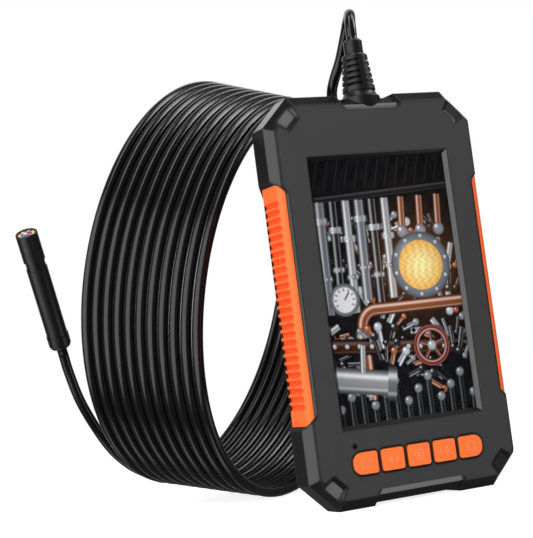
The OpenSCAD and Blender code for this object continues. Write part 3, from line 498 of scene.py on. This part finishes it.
def unit(rows):
    """Each row divided by its length."""
    return rows / np.linalg.norm(rows, axis=-1, keepdims=True)


def put_mesh(name, points, faces, material, body, smooth=True):
    """New object at the origin from points and faces, which rides on a body."""
    mesh = bpy.data.meshes.new(name)
    mesh.from_pydata(np.asarray(points).tolist(), [], faces)
    mesh.polygons.foreach_set("use_smooth", [smooth] * len(mesh.polygons))
    mesh.materials.append(material)
    mesh.update()
    made = bpy.data.objects.new(name, mesh)
    bpy.context.scene.collection.objects.link(made)
    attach(made, body)
    return made


def grid_faces(rows, columns, wrap):
    """Four-sided faces of a grid of points; with wrap, the last column joins the first."""
    across = columns if wrap else columns - 1
    i, k = np.meshgrid(np.arange(rows - 1), np.arange(across), indexing="ij")
    a, b = i * columns + k, i * columns + (k + 1) % columns
    return np.stack([a, b, b + columns, a + columns], axis=-1).reshape(-1, 4)


def smooth_line(points, steps):
    """Catmull-Rom curve: between each two inner points it is the cubic that passes through both and whose
    slope at each is half the step between that point's neighbours."""
    p = np.asarray(points, float)
    t = (np.arange(steps) / steps)[None, :, None]
    a, b, c, d = (p[i:len(p) - 3 + i, None, :] for i in range(4))
    square, cube = 2 * a - 5 * b + 4 * c - d, 3 * b - a - 3 * c + d
    curve = 0.5 * (2 * b + t * (c - a) + t ** 2 * square + t ** 3 * cube)
    return curve.reshape(-1, 3)


def coil_point(angle, diameter):
    """Point of the coil at that angle from its start: a circle whose centre, radius, turn and lean change
    evenly from the handset's end to the far end."""
    t = np.asarray(angle, float)[..., None] / COIL_SWEEP
    turn, lean, r = (v[0] + t * (v[1] - v[0]) for v in (COIL_TURN, COIL_LEAN, COIL_R))
    turn, lean = np.radians(turn), np.radians(lean)
    height = [r_end * math.cos(math.radians(tip)) + diameter / 2 for r_end, tip in zip(COIL_R, COIL_LEAN)]
    near = np.array([*COIL_MIDDLE[0], height[0]])
    far = np.array([*COIL_MIDDLE[1], height[1] + COIL_RISE])
    across = np.concatenate([-np.sin(turn), np.cos(turn), 0 * turn], axis=-1)
    up = np.concatenate([np.sin(lean) * np.cos(turn), np.sin(lean) * np.sin(turn), np.cos(lean)], axis=-1)
    b = np.radians(COIL_START - np.asarray(angle, float))[..., None]
    return near + t * (far - near) + r * (np.cos(b) * across + np.sin(b) * up)


def head_way():
    """Direction in which the camera head looks, from its tilt off the vertical and its turn about it."""
    tilt, turn = math.radians(HEAD_TILT), math.radians(HEAD_TURN)
    return (math.sin(tilt) * math.cos(turn), math.sin(tilt) * math.sin(turn), math.cos(tilt))


def cable_line(diameter, loop_rings):
    """Middle line of the whole cable in metres: lead, coil and tail, with straight ends where they meet."""
    coil = coil_point(np.linspace(0, COIL_SWEEP, int(COIL_SWEEP / 360 * loop_rings) + 1), diameter)
    step_in, step_out = diameter * unit(coil[1] - coil[0]), diameter * unit(coil[-1] - coil[-2])
    step_head, head = diameter * np.array(head_way()), np.array(HEAD_AT)
    start = np.array([0, BOOT_Y, BOOT_TOP])
    before = [coil[0] - 2 * step_in, coil[0] - step_in]
    after = [coil[-1] + step_out, coil[-1] + 2 * step_out]
    end = [head - step_head, head]
    lead = smooth_line([start, *LEAD, *before], CURVE_STEPS)
    tail = smooth_line([*after, *TAIL, head - 3 * step_head, *end], CURVE_STEPS)
    return np.concatenate([[start], lead, before, coil, after[:1], tail, end]) * MM


def tube(line, radius, sides):
    """Round tube: at each point of the line a ring whose plane is square to the line. The ring starts on the
    side that is square to the coil's axis. A fan of triangles round the line's end point closes each end."""
    way = unit(np.gradient(line, axis=0))
    turn, lean = math.radians(np.mean(COIL_TURN)), math.radians(np.mean(COIL_LEAN))
    axis = np.array([math.cos(turn) * math.cos(lean), math.sin(turn) * math.cos(lean), -math.sin(lean)])
    side = unit(np.cross(way, axis))
    other = np.cross(way, side)
    angle = np.arange(sides) * 2 * np.pi / sides
    round_way = np.cos(angle)[:, None] * side[:, None] + np.sin(angle)[:, None] * other[:, None]
    rings = (line[:, None] + radius * round_way).reshape(-1, 3)
    walls = grid_faces(len(line), sides, True)[:, ::-1]
    k = np.arange(sides)
    first, last = np.full(sides, len(rings)), np.full(sides, len(rings) + 1)
    tail_ring = (len(line) - 1) * sides
    caps = np.concatenate([np.stack([first, (k + 1) % sides, k], axis=1),
                           np.stack([last, tail_ring + k, tail_ring + (k + 1) % sides], axis=1)])
    return np.concatenate([rings, line[[0, -1]]]), walls, caps


def ridge(line, width, height, closed):
    """Raised line on a face that looks along -Y: an ellipse carried along a line in X and Z, half sunk. The
    width of an open line falls to nothing at both ends as a half circle does."""
    p = np.asarray(line, float)
    if closed:
        way = unit(np.roll(p, -1, axis=0) - np.roll(p, 1, axis=0))
        taper = np.ones(len(p))
    else:
        way = unit(np.gradient(p, axis=0))
        along = np.concatenate([[0], np.cumsum(np.linalg.norm(np.diff(p, axis=0), axis=1))])
        inset = np.clip(np.minimum(along, along[-1] - along) / (width / 2), 0, 1)
        taper = np.sqrt(np.maximum(1 - (1 - inset) ** 2, 1e-4))
    side = np.stack([-way[:, 1], way[:, 0]], axis=1)
    k = np.arange(SIGN_SIDES)
    angle = k * 2 * np.pi / SIGN_SIDES
    flat = p[:, None] + (taper[:, None] * np.cos(angle) * width / 2)[..., None] * side[:, None]
    proud = -taper[:, None] * np.sin(angle) * height
    points = np.stack([flat[..., 0], proud, flat[..., 1]], axis=-1).reshape(-1, 3)
    faces = grid_faces(len(p), SIGN_SIDES, True)
    if closed:
        last, after = (len(p) - 1) * SIGN_SIDES, (k + 1) % SIGN_SIDES
        faces = np.concatenate([faces, np.stack([last + k, last + after, after, k], axis=1)])
    return points, faces


def outline(corners, per_side):
    """Closed line of points along straight sides between corners."""
    c = np.asarray(corners, float)
    t = (np.arange(per_side) / per_side)[None, :, None]
    return (c[:, None] + t * (np.roll(c, -1, axis=0) - c)[:, None]).reshape(-1, 2)


def stroke(start, end, count=12):
    """Straight line of points."""
    return np.linspace(start, end, count)


def button_signs():
    """Lines of the sign on each button, in millimetres from its middle, and whether each line is closed."""
    ring = np.linspace(0, 2 * np.pi, 28, endpoint=False)
    circle = np.stack([np.cos(ring), np.sin(ring)], axis=1)
    page = outline([(-1.3, -1.8), (1.3, -1.8), (1.3, 1.8), (-1.3, 1.8)], 6)
    left = outline([(-2.2, 0), (-0.6, -1.1), (-0.6, 1.1)], 6)
    right = outline([(2.2, 0), (0.6, 1.1), (0.6, -1.1)], 6)
    house = outline([(-1.4, -1.5), (1.4, -1.5), (1.4, 0.3), (2, 0.3), (0, 1.9), (-2, 0.3), (-1.4, 0.3)], 4)
    return {
        "picture": [(page, True)] + [(stroke((-0.7, z), (0.7, z)), False) for z in (0.8, 0, -0.8)],
        "left": [(left, True), (stroke((1.6, 1), (1.6, -1)), False)],
        "ok": [(1.7 * circle, True), (0.6 * circle, True)],
        "right": [(right, True), (stroke((-1.6, 1), (-1.6, -1)), False)],
        "home": [(house, True)],
    }


# picture on the screen: pipes, flanges, a gauge and a burner port, in millimetres from its lower left corner

STEEL, DARK, COPPER = linear("#9aa0ab"), linear("#2c2e33"), linear("#c07040")
RUST, PALE, BOLT = linear("#5e3018"), linear("#d8dce2"), linear("#c8ccd4")
# width of the soft edge of each painted shape
BLUR = 0.3


def round_tone(across, tone, shine):
    """Light on a polished round bar: dark edges and middle, a broad bright band at the left and a thin one at
    the right."""
    t = np.clip(across, -1, 1)
    body = 0.05 + 0.4 * (1 - t ** 2)
    band = np.exp(-((t + 0.42) / 0.2) ** 2) + 0.5 * np.exp(-((t - 0.58) / 0.1) ** 2)
    pale = 0.5 + 0.5 * np.asarray(tone)[:3]
    return (body[..., None] * np.asarray(tone)[:3] + shine * band[..., None] * pale).clip(0, 1.4)


class Painting:
    """Colours of a grid of dots, painted from back to front; u and v are the places of the dots."""

    def __init__(self, u, v, width, height):
        self.u, self.v, self.width, self.height = u, v, width, height
        haze = 0.5 + 0.5 * np.sin(u * 0.9) * np.sin(v * 0.7)
        self.colours = (0.004 + 0.006 * haze)[..., None] * np.array([0.9, 0.95, 1.2])

    def lay(self, distance, colour):
        """Paint a colour inside a shape with a soft edge; distance is positive outside the shape."""
        mask = np.clip(0.5 - distance / BLUR, 0, 1)[..., None]
        self.colours = self.colours * (1 - mask) + colour * mask

    def bar(self, start, end, r, tone, shine=0.5):
        """Straight round bar from start to end."""
        s, e = np.array(start, float), np.array(end, float)
        way, half = unit(e - s), np.linalg.norm(e - s) / 2
        along = (self.u - s[0]) * way[0] + (self.v - s[1]) * way[1]
        across = (self.u - s[0]) * way[1] - (self.v - s[1]) * way[0]
        distance = np.maximum(np.abs(across) - r, np.abs(along - half) - half)
        self.lay(distance, round_tone(across / r, tone, shine))

    def bend(self, middle, turn_r, r, quarter, tone, shine=0.5):
        """Quarter bend of a round bar; quarter gives the signs of the side it lies on."""
        x, y = (self.u - middle[0]) * quarter[0], (self.v - middle[1]) * quarter[1]
        across = np.hypot(x, y) - turn_r
        distance = np.maximum.reduce([np.abs(across) - r, -x, -y])
        self.lay(distance, round_tone(-across / r, tone, shine))

    def knob(self, middle, r, tone, shine=0.6):
        """Ball, bolt head or cap: bright at the upper left, dark at the rim."""
        x, y = (self.u - middle[0]) / r, (self.v - middle[1]) / r
        d = np.hypot(x, y)
        light = 0.12 + 0.7 * np.sqrt(np.maximum(1 - np.clip(d, 0, 1) ** 2, 0))
        glint = np.exp(-((x + 0.35) ** 2 + (y - 0.4) ** 2) / 0.05)
        self.lay((d - 1) * r, light[..., None] * np.asarray(tone)[:3] + shine * glint[..., None])

    def flange(self, middle, half_w, half_h, tone):
        """Collar round an upright pipe, with three bolts."""
        x, y = middle
        self.bar((x, y - half_h), (x, y + half_h), half_w, tone, 0.8)
        for s in (-0.62, 0, 0.62):
            self.knob((x + s * half_w, y), 0.55, BOLT)

    def fittings(self, low, high, count, tones):
        """Small rods and nuts with their shadows, spread evenly between two heights by steps of 0.618 of the
        width and 0.7549 of the height."""
        for i in range(count):
            at = np.array([(i * 0.618 + 0.13) % 1 * self.width, low + (i * 0.7549 + 0.4) % 1 * (high - low)])
            way = np.array([math.cos(i * 2.4), math.sin(i * 2.4)])
            foot, tone = at - (2 + i % 3) * way, tones[i % len(tones)]
            self.bar(foot, at + (2 + i % 4) * way, 0.7 + 0.3 * (i % 3), tone, 0.75)
            self.knob(foot, 1.1 + 0.3 * (i % 3), tone, 0.9)
            shadow = np.hypot(self.u - at[0] - 1.5, self.v - at[1] + 2) - 0.9
            self.lay(shadow, np.array([0.004, 0.004, 0.006]))

    def hand_wheel(self, middle, r, tone):
        """Wheel of a valve: five spokes, a round rim and a nut."""
        middle = np.array(middle)
        for a in np.arange(5) * 2 * math.pi / 5 + 0.3:
            self.bar(middle, middle + r * np.array([math.cos(a), math.sin(a)]), 0.7, tone, 0.6)
        across = np.hypot(self.u - middle[0], self.v - middle[1]) - r
        self.lay(np.abs(across) - 1.3, round_tone(across / 1.3, tone, 0.7))
        self.knob(middle, 1.9, BOLT, 0.9)


def paint_tray(p):
    """Cable tray at the top."""
    for x in np.arange(-1.5, p.width, 4.2):
        p.bar((x, 0.87 * p.height), (x + 3.5, 0.99 * p.height), 1.1, linear("#1d1e21"), 0.04)
    p.bar((-2, 0.835 * p.height), (p.width + 2, 0.865 * p.height), 1.7, DARK, 0.1)


def paint_pipes(p):
    """Upright pipes with their collars at the back, and three copper stubs at the right."""
    for i, x in enumerate(np.linspace(0.05, 0.5, 6) * p.width):
        foot = (0.42 + 0.04 * (i % 2)) * p.height
        p.bar((x, foot), (x + 1.2, 0.83 * p.height), 2.2 - 0.2 * (i % 3), [STEEL, DARK, PALE][i % 3], 0.7)
        p.flange((x + 1, (0.76 - 0.035 * (i % 3)) * p.height), 2.9, 1.1, PALE)
        p.flange((x + 0.5, (0.55 + 0.03 * (i % 2)) * p.height), 2.7, 0.9, STEEL)
    for x in np.array([0.62, 0.75, 0.88]) * p.width:
        p.bar((x, 0.7 * p.height), (x + 1, 0.83 * p.height), 1.6, COPPER, 0.8)
        p.knob((x, 0.7 * p.height), 2.4, STEEL, 0.9)


def paint_burner(p, middle):
    """Burner port: its glow on the wall, and a steel ring with bolts round a yellow flame."""
    r = 0.155 * p.width
    distance = np.hypot(p.u - middle[0], p.v - middle[1])
    p.colours = p.colours + np.exp(-distance / 6)[..., None] * np.array([0.5, 0.17, 0.02])
    p.knob(middle, r + 3.2, STEEL, 0.35)
    heat = np.clip(1.2 - distance / r, 0, 1)[..., None]
    flicker = 0.85 + 0.15 * np.sin(p.u * 2.1 + 2 * np.sin(p.v * 1.3)) * np.sin(p.v * 1.7)
    flame = np.array([1.0, 0.42, 0.03]) + heat * np.array([0.1, 0.55, 0.4])
    p.lay(distance - r, flicker[..., None] * flame)
    for a in np.arange(10) * math.pi / 5 + 0.2:
        p.knob(middle + (r + 1.6) * np.array([math.cos(a), math.sin(a)]), 0.8, PALE)


def paint_feed(p, level):
    """Copper feed that runs under the burner to the left and turns down."""
    x, turn_r, r = 0.36 * p.width, 6, 2.4
    p.bar((x, level), (p.width + 3, level), r, COPPER, 0.8)
    p.bend((x, level - turn_r), turn_r, r, (-1, 1), COPPER, 0.8)
    p.bar((x - turn_r, level - turn_r), (x - turn_r, 0.1 * p.height), r, COPPER, 0.8)
    p.flange((x - turn_r, level - 9), 3.6, 1.2, STEEL)


def paint_gauge(p, middle):
    """Gauge with plain ticks."""
    p.knob(middle, 6.0, STEEL, 0.6)
    p.lay(np.hypot(p.u - middle[0], p.v - middle[1]) - 4.6, np.array(linear("#dfe2e6"))[:3])
    for a in np.radians(np.arange(-210, 31, 30)):
        tick = np.array([math.cos(a), -math.sin(a)])
        p.bar(middle + 3.2 * tick, middle + 4.2 * tick, 0.22, linear("#202020"), 0)
    p.bar(middle, middle + 3.4 * np.array([0.6, 0.8]), 0.3, linear("#c03020"), 0)


def paint_beam(p):
    """Rusty beam with its rivets, loose fittings in front of it, and short posts at the bottom."""
    left, fall = 0.31 * p.height, 0.06 * p.height
    p.bar((-3, left), (p.width + 3, left - fall), 3.0, RUST, 0.15)
    for x in np.arange(3, p.width, 5):
        p.knob((x, left - fall * x / p.width), 0.9, PALE, 0.9)
    p.fittings(0.12 * p.height, 0.34 * p.height, 30, [STEEL, DARK, PALE, DARK, COPPER, DARK])
    for i, x in enumerate(np.arange(2.5, p.width, 4.6)):
        top = (0.08 + 0.04 * (i % 3)) * p.height
        p.bar((x, -3), (x, top), 1.4, DARK, 0.25)
        p.knob((x, top), 1.7, STEEL, 0.8)


def paint_valves(p):
    """Steel valve at the lower left and the hand wheel of another."""
    w, h = p.width, p.height
    p.bar((0.02 * w, 0.19 * h), (0.4 * w, 0.15 * h), 4.6, PALE, 0.7)
    p.bar((0.38 * w, 0.152 * h), (0.44 * w, 0.146 * h), 6.4, STEEL, 0.8)
    p.bar((0.22 * w, 0.2 * h), (0.24 * w, 0.3 * h), 1.2, PALE, 0.8)
    p.hand_wheel((0.72 * w, 0.27 * h), 6.5, linear("#a33a1e"))


def boiler_picture(u, v, width, height):
    """Colour of each dot: a boiler room seen by the camera, darker towards the corners."""
    p = Painting(u, v, width, height)
    burner = np.array([0.72 * width, 0.57 * height])
    paint_tray(p)
    p.fittings(0.2 * height, 0.76 * height, 70, [DARK, STEEL, DARK, COPPER, DARK, PALE])
    paint_pipes(p)
    paint_burner(p, burner)
    paint_feed(p, burner[1] - 14.5)
    paint_gauge(p, np.array([0.16 * width, 0.47 * height]))
    paint_beam(p)
    paint_valves(p)
    vignette = 1 - (u / width - 0.5) ** 2 - (v / height - 0.5) ** 2
    return np.clip(p.colours * vignette[..., None], 0, 1)


# operators


class DressCable(bpy.types.Operator):
    """Lay the cable from the boot through the coil to the camera head"""

    bl_idname = "inspection.cable"
    bl_label = "Cable"

    def execute(self, context):
        sizes, colours = context.scene.inspection_cable, context.scene.inspection_colours
        line = cable_line(sizes.diameter / MM, sizes.loop_rings)
        points, walls, caps = tube(line, sizes.diameter / 2, sizes.sides)
        made = put_mesh("cable", points, walls.tolist() + caps.tolist(),
                        extruded_pvc("extruded_pvc", tuple(colours.jacket)), "handset")
        along = np.concatenate([[0], np.cumsum(np.linalg.norm(np.diff(line, axis=0), axis=1))])
        rows, columns = walls // sizes.sides, walls % sizes.sides
        # the column after the last one counts on, so that the pattern doesn't run back across one face
        seam = (columns == 0) & (columns.max(axis=1, keepdims=True) == sizes.sides - 1)
        course = np.stack([along[rows], np.where(seam, sizes.sides, columns) / sizes.sides], axis=-1)
        course = np.concatenate([course.reshape(-1, 2), np.zeros((caps.size, 2))])
        made.data.uv_layers.new(name="course").data.foreach_set("uv", course.ravel())
        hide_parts("cable_lead", "cable_coil", "cable_tail")
        dress(["inner_cable"], patterned("pvc_end", "#0c0c0c", 0.2, 4, 0.35))
        return {"FINISHED"}


class DressCase(bpy.types.Operator):
    """Finish the shells, grips, boot, cover and screws"""

    bl_idname = "inspection.case"
    bl_label = "Case"

    def execute(self, context):
        colours = context.scene.inspection_colours
        # the bevel, floor and strip tones are painted shade and painted light on one grey moulding
        tones = [tuple(tone) for tone in (colours.shell, colours.bevel, colours.floor, colours.strip)]
        dress(SHELLS, abs_with_painted_light_and_shade("moulded_abs_grey", *tones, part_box("front_shell")[0].y))
        dress(GRIPS, soft_elastomer("soft_elastomer_orange", tuple(colours.grip), tuple(colours.groove_shade)))
        dress(RUBBERS, black_rubber("silicone_rubber_black", tuple(colours.rubber)))
        dress(["case_screws"], rolled_metal("black_oxide_steel", linear("#2a2a2c"), 0.4))
        return {"FINISHED"}


class DressScreen(bpy.types.Operator):
    """Light the screen with a picture and glaze it"""

    bl_idname = "inspection.screen"
    bl_label = "Screen"

    def execute(self, context):
        settings = context.scene.inspection_picture
        low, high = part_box("lcd_panel")
        border = 0.3 * MM
        x0, x1, z0, z1 = low.x + border, high.x - border, low.z + border, high.z - border
        columns, rows = int((x1 - x0) / settings.step), int((z1 - z0) / settings.step)
        x, z = np.meshgrid(np.linspace(x0, x1, columns), np.linspace(z0, z1, rows))
        points = np.stack([x, np.full_like(x, low.y - 0.05 * MM), z], axis=-1).reshape(-1, 3)
        made = put_mesh("screen_picture", points, grid_faces(rows, columns, False).tolist(),
                        lit_panel("liquid_crystal_panel", settings.glow), "handset")
        colours = boiler_picture((x - x0) / MM, (z - z0) / MM, (x1 - x0) / MM, (z1 - z0) / MM)
        dots = made.data.color_attributes.new("picture", "FLOAT_COLOR", "POINT")
        opaque = np.concatenate([colours, np.ones_like(colours[..., :1])], axis=-1)
        dots.data.foreach_set("color", opaque.ravel())
        dress(["lcd_panel"], patterned("panel_edge", "#101214", 0.2, 5, 0.25))
        dress(["screen_window", "head_window"], coated_glass("coated_cover_glass"))
        return {"FINISHED"}


class DressButtons(bpy.types.Operator):
    """Finish the five buttons and raise a sign on each"""

    bl_idname = "inspection.buttons"
    bl_label = "Buttons"

    def execute(self, context):
        colours = context.scene.inspection_colours
        cap = moulded_abs("moulded_abs_orange", tuple(colours.orange))
        sign = moulded_abs("raised_sign", linear("#ff9463"), 0.4)
        dress([key + "_button" for key in KEYS], cap)
        for key, lines in button_signs().items():
            low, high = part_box(key + "_button")
            middle = np.array([(low.x + high.x) / 2, low.y, (low.z + high.z) / 2])
            points, faces = [], []
            for line, closed in lines:
                p, f = ridge(line, SIGN_WIDTH, SIGN_HEIGHT, closed)
                faces.append(f + sum(len(q) for q in points))
                points.append(p)
            places = np.concatenate(points) * MM + middle
            made = put_mesh(key + "_sign", places, np.concatenate(faces).tolist(), sign, key + "_key")
        return {"FINISHED"}


class DressHead(bpy.types.Operator):
    """Finish the camera head and its lamps, and paint reflections on its coated lens"""

    bl_idname = "inspection.head"
    bl_label = "Camera head"

    def execute(self, context):
        dress(HEAD_SLEEVES, anodised_sleeve("black_coated_sleeve", linear("#121212")))
        dress(["head_lamps"], lamp_phosphor("lamp_phosphor"))
        low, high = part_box("head_window")
        way = Vector(head_way())
        front = (low + high) / 2 - LENS_BACK * MM * way
        dress(["lens_barrel"], coated_lens("coated_lens", front, way, PAINTED_LENS_REFLECTIONS))
        dress(["image_sensor"], patterned("sensor_silicon", "#2a3850", 0.3, 0.8, 0.15))
        dress(["head_wires"], rolled_metal("copper_wire", linear("#b87345"), 0.35))
        return {"FINISHED"}


class DressInside(bpy.types.Operator):
    """Finish the boards, battery, sockets and other inner pieces"""

    bl_idname = "inspection.inside"
    bl_label = "Inside"

    def execute(self, context):
        dress(STEELS, rolled_metal("cold_rolled_steel", linear("#b8babd")))
        dress(BOARDS, circuit_board("green_circuit_board"))
        dress(FOAMS, patterned("open_cell_foam", "#2a2a2a", 0.5, 0.6, 0.9))
        dress(BLACK_MOULDINGS, patterned("black_moulding", "#161616", 0.15, 2, 0.45))
        dress(PALE_MOULDINGS, patterned("nylon_moulding", "#e2ddd0", 0.06, 2, 0.5))
        dress(["indicator_lens"], patterned("smoked_acrylic", "#030303", 0.2, 1, 0.5, Specular_IOR_Level=0.1))
        dress(["indicator_lamp"], lamp_phosphor("indicator_phosphor"))
        dress(["display_flex"], patterned("polyimide_film", "#a4601f", 0.12, 1.5, 0.3))
        dress(["battery_pack"], patterned("shrink_film_blue", "#3468a8", 0.1, 8, 0.25))
        return {"FINISHED"}


class SetStudio(bpy.types.Operator):
    """Set up the camera, the lamps, the white background and the floor"""

    bl_idname = "inspection.studio"
    bl_label = "Studio"

    def execute(self, context):
        settings, scene = context.scene.inspection_studio, context.scene
        scene.view_settings.view_transform = "Standard"
        set_camera(scene, settings)
        set_world(scene, settings.ambient)
        set_floor(scene)
        set_lamp(scene, "side_lamp", settings.side, (1.3, 1.7), (-0.93, -0.37, -0.05))
        set_lamp(scene, "top_lamp", settings.top, (0.22, 0.22), (0.5, -0.16, 0.85))
        for name, size, way in STREAK_LAMPS:
            set_lamp(scene, name + "_lamp", getattr(settings, name), size, way).visible_diffuse = False
        # the front lamp lights colours only: it is left out of reflections, as through crossed polarisers
        set_lamp(scene, "front_lamp", settings.front, (0.4, 0.4), (-0.35, -0.92, 0.0)).visible_glossy = False
        return {"FINISHED"}


def set_camera(scene, settings):
    """Camera at its place. Its axes come from the yaw, then the pitch, then the roll."""
    yaw, pitch, roll = settings.yaw, settings.pitch, settings.roll
    ahead = np.array([math.sin(yaw) * math.cos(pitch), math.cos(yaw) * math.cos(pitch), math.sin(pitch)])
    level = np.array([math.cos(yaw), -math.sin(yaw), 0])
    over = np.cross(level, ahead)
    right = math.cos(roll) * level + math.sin(roll) * over
    up = math.cos(roll) * over - math.sin(roll) * level
    data = bpy.data.cameras.new("camera")
    data.lens, data.sensor_width = settings.lens, SENSOR_WIDTH
    made = bpy.data.objects.new("camera", data)
    scene.collection.objects.link(made)
    turn = np.eye(4)
    turn[:3, 0], turn[:3, 1], turn[:3, 2], turn[:3, 3] = right, up, -ahead, settings.camera_at
    made.matrix_world = Matrix(turn.tolist())
    scene.camera = made


def set_world(scene, ambient):
    """White for what the camera sees. Reflections and glass see the white backdrop behind the object, which
    ends about 40 degrees from its middle, and plain soft light from the rest of the room."""
    world = bpy.data.worlds.new("white_studio")
    world.use_nodes = True
    scene.world = world
    tree = world.node_tree
    seen = add(tree, "LightPath").outputs
    place = add(tree, "TexCoord").outputs["Generated"]
    middle = add(tree, "VectorMath", {0: place, 1: BACKDROP}, operation="DOT_PRODUCT").outputs["Value"]
    backdrop = add(tree, "MapRange", {"Value": middle, "From Min": 0.74, "From Max": 0.88})
    rays = {0: seen["Is Glossy Ray"], 1: seen["Is Transmission Ray"]}
    mirror = add(tree, "Math", rays, operation="MAXIMUM")
    behind = add(tree, "Math", {0: mirror, 1: backdrop}, operation="MULTIPLY")
    white = add(tree, "Math", {0: seen["Is Camera Ray"], 1: behind}, operation="MAXIMUM")
    room = add(tree, "MapRange", {"Value": mirror, "To Min": ambient, "To Max": 0.1})
    level = add(tree, "MapRange", {"Value": white, "To Min": room, "To Max": 1.0})
    set_inputs(tree, tree.nodes["Background"], {"Color": (1, 1, 1, 1), "Strength": level})


def set_floor(scene):
    """Flat white floor that meets the white background without a line and keeps the object's shadow."""
    side = np.linspace(-FLOOR_HALF, FLOOR_HALF, FLOOR_POINTS)
    x, y = np.meshgrid(side, side)
    points = np.stack([x, y, 0 * x], axis=-1).reshape(-1, 3)
    mesh = bpy.data.meshes.new("floor")
    mesh.from_pydata(points.tolist(), [], grid_faces(FLOOR_POINTS, FLOOR_POINTS, False).tolist())
    made = bpy.data.objects.new("floor", mesh)
    scene.collection.objects.link(made)
    paint = {"Base Color": (0.8, 0.8, 0.8, 1), "Roughness": 0.9, "Specular IOR Level": 0.0,
             "Emission Color": (1, 1, 1, 1)}
    material, tree, shader = finish("painted_floor", paint)
    seen = add(tree, "LightPath").outputs["Is Camera Ray"]
    lift = add(tree, "MapRange", {"Value": seen, "To Min": 0.0, "To Max": 0.8})
    set_inputs(tree, shader, {"Emission Strength": lift})
    # reflections look past the floor into the room
    made.visible_glossy = False
    mesh.materials.append(material)


def set_lamp(scene, name, watts, size, way):
    """Soft lamp of that width and height in metres, aimed at the middle of the object from that direction."""
    data = bpy.data.lights.new(name, "AREA")
    data.shape, data.energy = "RECTANGLE", watts
    data.size, data.size_y = size
    made = bpy.data.objects.new(name, data)
    scene.collection.objects.link(made)
    aim = Vector(way).normalized()
    made.location = (cad_box[0] + cad_box[1]) / 2 + LAMP_DISTANCE * aim
    made.rotation_euler = (-aim).to_track_quat("-Z", "Y").to_euler()
    return made


class InspectionPanel(bpy.types.Panel):
    """Buttons for the steps that dress the inspection camera"""

    bl_idname = "VIEW3D_PT_inspection_camera"
    bl_label = "Inspection camera"
    bl_space_type = "VIEW_3D"
    bl_region_type = "UI"
    bl_category = "Inspection camera"

    def draw(self, context):
        for step in STEPS:
            self.layout.operator(step.bl_idname)


STEPS = [SetStudio, DressCable, DressCase, DressScreen, DressButtons, DressHead, DressInside]
SETTINGS = {"inspection_cable": CableSettings, "inspection_colours": ColourSettings,
            "inspection_picture": PictureSettings, "inspection_studio": StudioSettings}


def register():
    """Register the classes and put the settings on the scene."""
    for kind in [*SETTINGS.values(), *STEPS, InspectionPanel]:
        bpy.utils.register_class(kind)
    for name, kind in SETTINGS.items():
        setattr(bpy.types.Scene, name, bpy.props.PointerProperty(type=kind))


def unregister():
    """Take the settings off the scene and unregister the classes."""
    for name in SETTINGS:
        delattr(bpy.types.Scene, name)
    for kind in reversed([*SETTINGS.values(), *STEPS, InspectionPanel]):
        bpy.utils.unregister_class(kind)


def main():
    """Dress the object step by step."""
    register()
    for step in STEPS:
        group, name = step.bl_idname.split(".")
        getattr(getattr(bpy.ops, group), name)()


if __name__ == "__main__":
    main()
